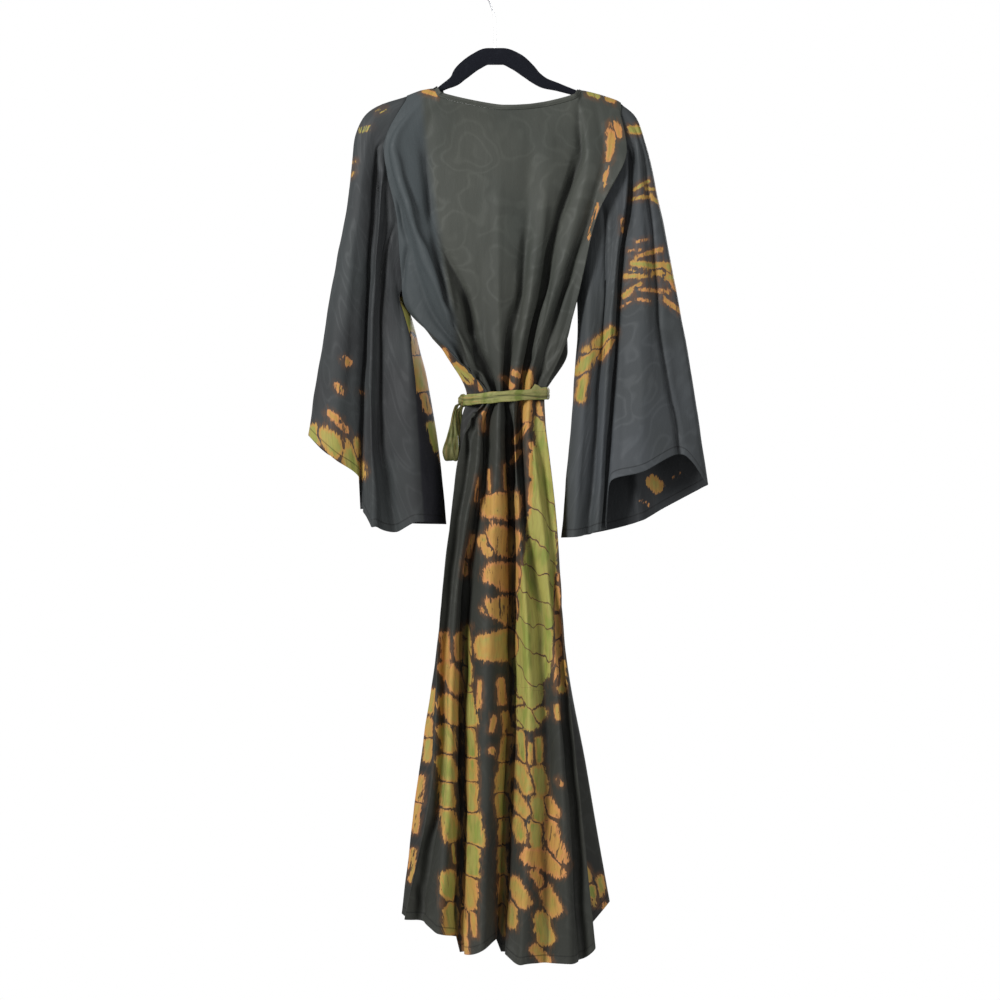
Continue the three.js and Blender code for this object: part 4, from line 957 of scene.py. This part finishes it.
def wire_material():
    """Bright, slightly hazed wire."""
    s = Nodes("wire")
    place = s.add("ShaderNodeTexCoord").outputs["Object"]
    haze = s.noise(place, 300, 3)
    s.put(s.shader.inputs["Base Color"], s.mix(haze, (0.52, 0.53, 0.55, 1), (0.66, 0.67, 0.69, 1)))
    s.put(s.shader.inputs["Roughness"], s.math("MULTIPLY_ADD", haze, 0.16, 0.16))
    s.put(s.shader.inputs["Normal"], s.bump(haze, 0.1, 0.0002))
    s.shader.inputs["Metallic"].default_value = 1.0
    return s.material


flock = flock_material()
wire = wire_material()


CLOTH_OVER_BAR = 2.6


def over_hanger(x):
    """Height of the shoulder line where the cloth lies on the hanger."""
    xs, tops, _ = zip(*HANGER_ROWS)
    return float(np.interp(x, xs, tops)) + CLOTH_OVER_BAR


def body_heights(top, hem):
    """The fourteen heights of a fold line, the first three close to the shoulder."""
    return [top, top - 1.2, top - 7, *HEIGHTS, hem]


def as_line(x, y, z):
    """Points of one fold line, from its three lists."""
    return np.stack([np.array(x, float), np.array(y, float), np.array(z, float)], -1)


# Back panel
back_lines = np.stack([
    as_line(x, [-away for away in out],
            body_heights(over_hanger(x[0]) if top is None else top, hem))
    for _, top, hem, x, out in BACK_FOLDS
])
body_ranks = rank_list(BODY_ROWS, last_span=280)
back_grid = surface(back_lines, body_ranks, BACK_PER_FOLD)
back_edges = {"left": back_grid[:, 0].copy(), "right": back_grid[:, -1].copy()}


def edge_hold(grid, per_fold):
    """How freely each column may move: not at all at the side edges."""
    columns = np.arange(grid.shape[1])
    return np.minimum(1, np.minimum(columns, columns[::-1]) / per_fold)


hold_top = np.clip((np.arange(back_grid.shape[0]) - 3) / 12, 0, 1)
back_hold = hold_top[:, None] * edge_hold(back_grid, BACK_PER_FOLD)[None, :]
back_shown, back_fold_shade = sharpened(back_grid, BACK_PER_FOLD, BODY_AT, BACK_LINES)
back_shown = back_grid + (back_shown - back_grid) * back_hold[..., None]
back_shown = stepped_hem(back_shown, BACK_PER_FOLD, BACK_HEM_STEPS)
back_shown, crease_shade = creased(back_shown, BACK_CREASES, 1.6 * back_hold)
back_waves = waves(back_shown, seed=3, size=60, height=0.8)
back_shown = back_shown + (back_waves - back_shown) * back_hold[..., None]
back_values = dye_of(back_shown, BACK_DYE)
# The blue-grey side ends at these x, by height
blue_edge = np.interp(
    back_shown[..., 2], [-650, -560, -510, -262, -180], [-60, -66, -81, -117, -122])
# Painted shade in closed folds and creases, none at the held edges
back_values["fold_shade"] = np.maximum(back_fold_shade, crease_shade) * back_hold
back_values["blue"] = np.clip(0.5 + (blue_edge - back_shown[..., 0]) / 10, 0, 1) * (
    back_shown[..., 2] > -700)
back = cloth("back_panel", back_shown, back_silk, values=back_values)
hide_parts("back")


def front_lines(front, seam, sign):
    """Fold lines of a front: the side seam, its side, its folds and its free edge."""
    def line(x, y, hem=front["hem"]):
        return as_line(x, y, body_heights(over_hanger(x[0]), hem))

    side, edge = np.array(front["side"], float), np.array(front["edge"], float)
    rest, swing = np.array(front["rest"], float), np.array(front["swing"], float)
    seam_y = [y + 0.5 if k > 5 else -y for k, y in enumerate(seam[:, 1])]
    lines = [line(seam[:, 0], seam_y), line(side, front["side_out"], front["side_hem"])]
    for across, rise in FRONT_FOLDS:
        lines.append(line(side + (edge - side) * across, rest + swing * rise))
    lines.append(line(edge, rest))
    return np.stack(lines if sign > 0 else lines[::-1])


def front_panel(side, sign, strokes):
    """One front and its grid; sign is 1 for the one at the photo's left."""
    seam = back_lines[0] if sign > 0 else back_lines[-1]
    grid = surface(front_lines(FRONTS[side], seam, sign), body_ranks, FRONT_PER_FOLD)
    hold = edge_hold(grid, FRONT_PER_FOLD)[None, :] * hold_top[:, None]
    shown, crease_shade = creased(grid, FRONT_CREASES, 1.5 * hold)
    waved = waves(shown, seed=5 + sign, size=70, height=0.8)
    shown = shown + (waved - shown) * hold[..., None]
    values = dye_of(shown, strokes)
    # Painted shade in closed creases
    values["fold_shade"] = crease_shade
    piece = cloth("front_panel_" + side, shown, front_silk, values=values)
    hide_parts("front_" + side)
    return piece, shown


front_left, front_left_grid = front_panel("left", 1, FRONT_LEFT_DYE)
front_right, front_right_grid = front_panel("right", -1, FRONT_RIGHT_DYE)


# Sleeves, whose top edges are tucked in behind the bodice's edges
SLEEVE_TUCK = 3.5
TUCK_IN = 1.3


def armhole(edge, height):
    """x and how far out the armhole's edge lies at each height."""
    z = edge[::-1, 2]
    return np.interp(height, z, edge[::-1, 0]), -np.interp(height, z, edge[::-1, 1])


def sleeve(side, folds, sign, per_fold, back_folds, strokes, front_strokes, seed):
    """One sleeve, its top row seated in the armhole; back_folds are those that face the camera."""
    edge = back_edges[side]
    lines = []
    for name, top, hem, at, out in folds:
        start_x, start_out = armhole(edge, top)
        crest = name in ("crest", "inner edge")
        face = -1 if out[1] < 0 else 1
        x = [float(start_x) - sign * SLEEVE_TUCK, *at]
        y = [0 if crest else -face * float(start_out), *[-away for away in out]]
        z = [top + (hem - top) * t for t in SLEEVE_STATIONS]
        lines.append(as_line(x, y, z))
    ranks = rank_list(SLEEVE_ROWS, last_span=240)
    grid = surface(np.stack(lines), ranks, per_fold, closed=True)
    hole_x, hole_out = armhole(edge, grid[0, :, 2])
    move_x = hole_x - sign * SLEEVE_TUCK - grid[0, :, 0]
    y0 = grid[0, :, 1]
    seated = np.maximum(hole_out - TUCK_IN, 0)
    move_y = np.where(np.abs(y0) > 1, np.sign(y0) * seated - y0, 0)
    ease = np.clip(1 - ranks / 0.9, 0, 1) ** 1.5
    grid[..., 0] += ease[:, None] * move_x
    grid[..., 1] += ease[:, None] * move_y
    hold = np.clip((ranks - 0.15) / 0.9, 0, 1)[:, None] * np.ones(grid.shape[1])
    shown, fold_shade = sharpened(grid, per_fold, SLEEVE_AT, SLEEVE_LINES[side], closed=True)
    shown = grid + (shown - grid) * hold[..., None]
    shown = stepped_hem(shown, per_fold, SLEEVE_HEM_STEPS[side])
    shown, crease_shade = creased(shown, SLEEVE_CREASES, 1.4 * hold, closed=True)
    waved = waves(shown, seed, size=60, height=0.8, closed=True)
    shown = shown + (waved - shown) * hold[..., None]
    columns = np.arange(grid.shape[1]) / per_fold
    first, last = back_folds
    behind = (columns >= first - 0.1) & (columns <= last + 0.1) | (columns < 0.5) & (sign < 0)
    values, front_values = dye_of(shown, strokes), dye_of(shown, front_strokes)
    for key in values:
        values[key] = np.where(behind[None, :], values[key], front_values[key])
    # Painted shade: the layer facing away from the camera, seen inside the sleeve, is darkened
    values["inner"] = np.where(behind, 0.0, 0.92)
    # Painted shade in closed folds and creases
    values["fold_shade"] = np.maximum(0.5 * fold_shade, crease_shade) * hold
    sleeve_silk = left_silk if side == "left" else right_silk
    piece = cloth("sleeve_" + side + "_shown", shown, sleeve_silk, closed=True, values=values)
    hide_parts("sleeve_" + side)
    return piece


sleeve_left = sleeve(
    "left", LEFT_SLEEVE_FOLDS, -1, LEFT_SLEEVE_PER_FOLD, (0, 6.05),
    LEFT_SLEEVE_DYE, LEFT_SLEEVE_FRONT_DYE, seed=11,
)
sleeve_right = sleeve(
    "right", RIGHT_SLEEVE_FOLDS, 1, RIGHT_SLEEVE_PER_FOLD, (6, 15),
    RIGHT_SLEEVE_DYE, RIGHT_SLEEVE_FRONT_DYE, seed=13,
)


# Bands round the neck and down the fronts' free edges, folded double and topstitched.
BAND_WIDTH = 8.5
BAND_STITCH = 1.6  # from the band's inner edge to its stitches


def band(name, edge, outwards, node, panel_gap=0.25):
    """A band that runs along an edge, on its outer side."""
    out = outwards / np.linalg.norm(outwards, axis=-1, keepdims=True)
    fars = np.linspace(panel_gap, panel_gap + BAND_WIDTH, 9)
    grid = edge[:, None, :] + out[:, None, :] * fars[None, :, None]
    puff = np.sin(np.linspace(0, math.pi, 9)) * 0.5
    grid = grid + normals_of(grid) * puff[None, :, None]
    stitched = np.broadcast_to(np.abs(fars - panel_gap - BAND_STITCH) * 3 + 6.6, grid.shape[:2])
    piece = cloth(name, grid, band_silk, values={"hem": stitched}, thick=1.3)
    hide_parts(node)
    return piece


neck = back_shown[0, 46:123]  # the top row between the shoulders
along = np.gradient(neck, axis=0)
neck_out = np.stack([-along[:, 2], np.full(len(neck), -1.0), along[:, 0]], -1)
neck_band = band("neck_band_shown", neck, neck_out, "neck_band")


def front_band(name, grid, last, node):
    """The band down a front's free edge, which is its last column or its first."""
    rows = grid[3:]
    edge = rows[:, -1] if last else rows[:, 0]
    beside = rows[:, -3] if last else rows[:, 2]
    out = edge - beside
    out[:, 2] = 0
    return band(name, edge, out, node)


band_left = front_band("front_band_left_shown", front_left_grid, True, "front_band_left")
band_right = front_band("front_band_right_shown", front_right_grid, False, "front_band_right")


# Belt: two strands of one folded strip, twisted together round the waist.
BELT_SLOPE = 0.078
BELT_LEVEL_AT = 15  # x at which the belt's middle lies BELT_BELOW under the waist
BELT_BELOW = 2
BELT_SIDES = 180
BELT_AROUND = 28
BELT_OFF = 2.9  # from the cloth's widest points out to the belt's middle, and the least of it
BELT_OFF_LEAST = 2.4


def belt_height(x):
    """Height of the belt's middle, which rises to the photo's right."""
    return WAIST - BELT_BELOW + BELT_SLOPE * (x - BELT_LEVEL_AT)


def belt_path():
    """The belt's middle line, tight round everything at the waist, and its outward directions."""
    grids = [back_grid, front_left_grid, front_right_grid]
    points = np.concatenate([g.reshape(-1, 3) for g in grids])
    near = np.abs(points[:, 2] - belt_height(points[:, 0])) < 10
    at_waist = points[near][:, :2]
    bearings = np.arange(BELT_SIDES) * 2 * math.pi / BELT_SIDES
    aim = np.stack([np.cos(bearings), np.sin(bearings)], -1)
    widest = (at_waist @ aim.T).max(0)
    reach = widest + BELT_OFF
    reach = np.convolve(np.concatenate([reach[-2:], reach, reach[:2]]), np.ones(5) / 5, "valid")
    reach = np.maximum(reach, widest + BELT_OFF_LEAST)
    turn = 2 * math.pi / BELT_SIDES
    following = np.roll(reach, -1)
    side = (following - reach * math.cos(turn)) / math.sin(turn)
    x = reach * aim[:, 0] - side * aim[:, 1]
    y = reach * aim[:, 1] + side * aim[:, 0]
    return np.stack([x, y, belt_height(x)], -1), aim


def belt_grid():
    """The belt's folded section swept round its path, with its pleats, and how dark each is."""
    path, aim = belt_path()
    phi = np.arange(BELT_AROUND) * 2 * math.pi / BELT_AROUND
    x = path[:, 0]
    behind = path[:, 1] < 0
    half = np.interp(x, [-60, -44, -30, -8, 10, 30, 48, 60, 80],
                     [7.2, 9.4, 8.2, 9.6, 8.4, 9.2, 7.8, 9.0, 10.0])
    half = np.where(behind, half, 8.5)
    split = np.interp(x, [-60, -20, 10, 40, 70], [0.1, -0.1, 0.25, 0.0, -0.55])
    split = np.where(behind, split, 0.1 * np.sin(x / 13))
    rise = np.cos(phi)[None, :] * half[:, None]
    tip = np.where(behind, 12 * np.exp(-(((x - 66) / 3.2) ** 2)), 0)
    rise = rise + tip[:, None] * np.maximum(0, np.cos(phi))[None, :] ** 3
    level = np.cos(phi)[None, :]
    groove = np.exp(-(((level - split[:, None]) / 0.16) ** 2))
    second = np.exp(-(((level - split[:, None] + 0.55) / 0.1) ** 2))
    third_at = split[:, None] + 0.5 + 0.2 * np.sin(x / 9)[:, None]
    third = np.exp(-(((level - third_at) / 0.1) ** 2))
    pleats = 1 - 0.62 * groove - 0.25 * second - 0.25 * third
    thick = 2.1 * np.abs(np.sin(phi))[None, :] ** 0.6 * pleats
    out = np.sign(np.sin(phi))[None, :] * thick
    slant = np.sin(path[:, 0] / 19)[:, None] * 0.5
    sign = aim[:, None, :] * (out + slant)[..., None]
    grid = np.zeros((len(path), BELT_AROUND, 3))
    grid[..., :2] = path[:, None, :2] + sign
    grid[..., 2] = path[:, None, 2] + rise
    slit = 1 + 0.5 * np.exp(-(((x - 12) / 8) ** 2))[:, None]
    shadow = (slit * groove + 0.35 * second + 0.35 * third) * (np.sin(phi)[None, :] > 0)
    shadow = np.minimum(1.15, shadow + 0.28 * np.clip((x - 36) / 26, 0, 1)[:, None])
    return grid, shadow


belt_points, belt_shadow = belt_grid()
belt = cloth(
    "belt_shown", belt_points, belt_silk, closed=True, closed_down=True,
    values={"shadow": belt_shadow, "hem": NO_HEM}, thick=0.5,
)
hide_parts("belt")

# Knot, wrapped by two turns of the strip
knot_low, knot_high = (np.array(corner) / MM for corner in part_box("belt_knot"))
knot_centre = (knot_low + knot_high) / 2
KNOT_BEARING = math.radians(130)
KNOT = (16, 24, 21)  # its sizes, across, along and up


def knot_grid():
    """The knot as a ball with the folds of the strip wound over it, and how dark each is."""
    rows, columns = 44, 72
    theta = np.linspace(0.06, math.pi - 0.06, rows)[:, None]
    phi = (np.arange(columns) * 2 * math.pi / columns)[None, :]
    wrap = np.sin(2.2 * theta + 1.4 * np.sin(phi))
    folds = 0.5 + 0.5 * np.cos(9 * theta + 2.2 * np.cos(phi) + 1.3 * np.sin(2 * phi))
    radius = 0.5 * (0.93 + 0.05 * wrap + 0.07 * folds ** 2)
    local = np.stack([
        radius * np.sin(theta) * np.cos(phi) * KNOT[0],
        radius * np.sin(theta) * np.sin(phi) * KNOT[1],
        radius * np.cos(theta) * KNOT[2] * np.ones_like(phi),
    ], -1)
    c, s = math.cos(KNOT_BEARING), math.sin(KNOT_BEARING)
    turned = np.stack([
        local[..., 0] * c - local[..., 1] * s, local[..., 0] * s + local[..., 1] * c, local[..., 2]
    ], -1)
    return turned + knot_centre, 1 - folds


knot_points, knot_shadow = knot_grid()
knot = cloth(
    "belt_knot_shown", knot_points[::-1], belt_silk, closed=True,
    values={"shadow": knot_shadow[::-1] ** 3 * 0.7, "hem": NO_HEM}, thick=0.5,
)
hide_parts("belt_knot")


TIE_START = 9.5  # from the knot's centre
TIE_START_HALF = 2.5


def tie(node, rows):
    """A ribbon of the belt's strip, folded lengthwise, from the knot down its rows."""
    away = np.array(rows[0][:3], float) - knot_centre
    start = knot_centre + away / np.linalg.norm(away) * TIE_START
    table = [(*start, TIE_START_HALF, rows[0][4]), *rows]
    steps = np.linspace(0, len(table) - 1, 20 * (len(table) - 1) + 1)
    x, y, z, half, turn = smooth(table, steps).T
    turn = np.radians(turn)
    across = np.linspace(-1, 1, 21)
    aim = np.stack([np.cos(turn), np.sin(turn), np.zeros_like(turn)], -1)
    centre = np.stack([x, y, z], -1)
    grid = centre[:, None] + aim[:, None] * (half[:, None] * across)[..., None]
    n = normals_of(grid)
    ripple = 0.9 * np.cos(3.1 * across + 0.8 * np.sin(steps)[:, None] * 2) ** 2
    ripple = ripple + 0.35 * np.sin(9 * across + 3 * steps[:, None])
    grid = grid + n * ((ripple - 0.5) * np.minimum(1, steps / 0.6)[:, None])[..., None]
    dark = np.clip(0.5 - ripple, 0, 1) * 0.35 + (0.62 if node == "belt_loop_left" else 0.1)
    fold = np.abs(across - 0.35 + 0.5 * np.sin(0.8 * steps)[:, None])
    dark = np.minimum(1.1, dark + 0.45 * np.exp(-((fold / 0.09) ** 2)))
    values = {"shadow": dark, "hem": NO_HEM}
    piece = cloth(node + "_shown", grid, belt_silk, values=values, thick=0.9)
    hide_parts(node)


for tie_node, tie_rows in TIES.items():
    tie(tie_node, tie_rows)


# The hanger's body as one rounded, flocked bar; the hook keeps its CAD shape.
def rounded(name, middles, tops, depths, material):
    """A closed bar through upright rings with rounded corners: middle, half height, half depth."""
    around = 24
    phi = np.arange(around) * 2 * math.pi / around
    across = np.sign(np.cos(phi)) * np.abs(np.cos(phi)) ** 0.7
    rise = np.sign(np.sin(phi)) * np.abs(np.sin(phi)) ** 0.7
    middles = np.asarray(middles, float)
    aim = np.gradient(middles, axis=0)
    aim /= np.linalg.norm(aim, axis=1, keepdims=True)
    up = np.stack([-aim[:, 2], np.zeros(len(aim)), aim[:, 0]], -1)
    grid = middles[:, None] + up[:, None] * (tops[:, None] * rise)[..., None]
    grid[..., 1] += depths[:, None] * across
    count = len(middles)
    i, j = np.meshgrid(np.arange(count - 1), np.arange(around), indexing="ij")
    j2 = (j + 1) % around
    i2 = i + 1
    faces = [i * around + j, i * around + j2, i2 * around + j2, i2 * around + j]
    faces = np.stack(faces, -1).reshape(-1, 4).tolist()
    faces += [list(range(around))[::-1], [(count - 1) * around + k for k in range(around)]]
    mesh = bpy.data.meshes.new(name)
    mesh.from_pydata((grid.reshape(-1, 3) * MM).tolist(), [], faces)
    mesh.materials.append(material)
    mesh.polygons.foreach_set("use_smooth", np.ones(len(mesh.polygons), bool))
    piece = bpy.data.objects.new(name, mesh)
    bpy.context.scene.collection.objects.link(piece)
    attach(piece, "root")
    return piece


hanger_low, hanger_high = (np.array(corner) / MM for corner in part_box("hanger_body"))
bar_ranks = np.linspace(0, len(HANGER_ROWS) - 1, 8 * len(HANGER_ROWS) - 7)
hanger_x, hanger_top, hanger_bottom = smooth(HANGER_ROWS, bar_ranks).T
end_gap = np.minimum(hanger_x - hanger_x[0], hanger_x[-1] - hanger_x)
hanger_ends = np.sqrt(np.clip(end_gap / 4, 0.03, 1))
hanger_bar = rounded(
    "hanger_bar",
    np.stack([hanger_x, np.full(len(hanger_x), (hanger_low[1] + hanger_high[1]) / 2),
              (hanger_top + hanger_bottom) / 2], -1),
    (hanger_top - hanger_bottom) / 2 * hanger_ends,
    np.full(len(hanger_x), (hanger_high[1] - hanger_low[1]) / 2) * hanger_ends,
    flock,
)
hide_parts("hanger_body")
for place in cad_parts["hanger_hook"].material_slots:
    place.material = wire


# Floor, white surroundings and lights
def slab(name, corners, colour):
    """A flat face of the stage."""
    mesh = bpy.data.meshes.new(name)
    mesh.from_pydata(corners, [], [tuple(range(len(corners)))])
    s = Nodes(name)
    s.shader.inputs["Base Color"].default_value = colour
    s.shader.inputs["Roughness"].default_value = 0.9
    mesh.materials.append(s.material)
    piece = bpy.data.objects.new(name, mesh)
    bpy.context.scene.collection.objects.link(piece)


FLOOR_RADIUS = 1.3
FLOOR_Z = -1.95
turns = [k * math.pi / 32 for k in range(64)]
slab("floor", [(FLOOR_RADIUS * math.cos(a), FLOOR_RADIUS * math.sin(a), FLOOR_Z) for a in turns],
     (0.9, 0.9, 0.9, 1))

# White all round for the camera, and softer as a light
world = bpy.data.worlds.new("studio")
world.use_nodes = True
background = world.node_tree.nodes["Background"]
background.inputs["Color"].default_value = (1, 1, 1, 1)
rays = world.node_tree.nodes.new("ShaderNodeLightPath")
level = world.node_tree.nodes.new("ShaderNodeMapRange")
level.inputs["To Min"].default_value = 0.42
level.inputs["To Max"].default_value = 1.0
world.node_tree.links.new(rays.outputs["Is Camera Ray"], level.inputs["Value"])
world.node_tree.links.new(level.outputs["Result"], background.inputs["Strength"])
bpy.context.scene.world = world


def light(name, place, aim, size, power):
    """An area light at a place, turned to its aim; sizes in metres, power in watts."""
    data = bpy.data.lights.new(name, "AREA")
    data.shape = "RECTANGLE"
    data.size, data.size_y = size
    data.energy = power
    lamp = bpy.data.objects.new(name, data)
    lamp.location = place
    lamp.rotation_euler = (Vector(aim) - Vector(place)).to_track_quat("-Z", "Y").to_euler()
    bpy.context.scene.collection.objects.link(lamp)


light("key", (-3.0, -3.0, 0.9), (0, 0, -0.85), (1.2, 1.8), 260)
light("fill", (3.4, -2.6, 0.0), (0, 0, -0.9), (1.6, 2.4), 50)
light("rear", (1.5, 3.4, 0.8), (0, 0, -0.8), (1.6, 2.0), 120)
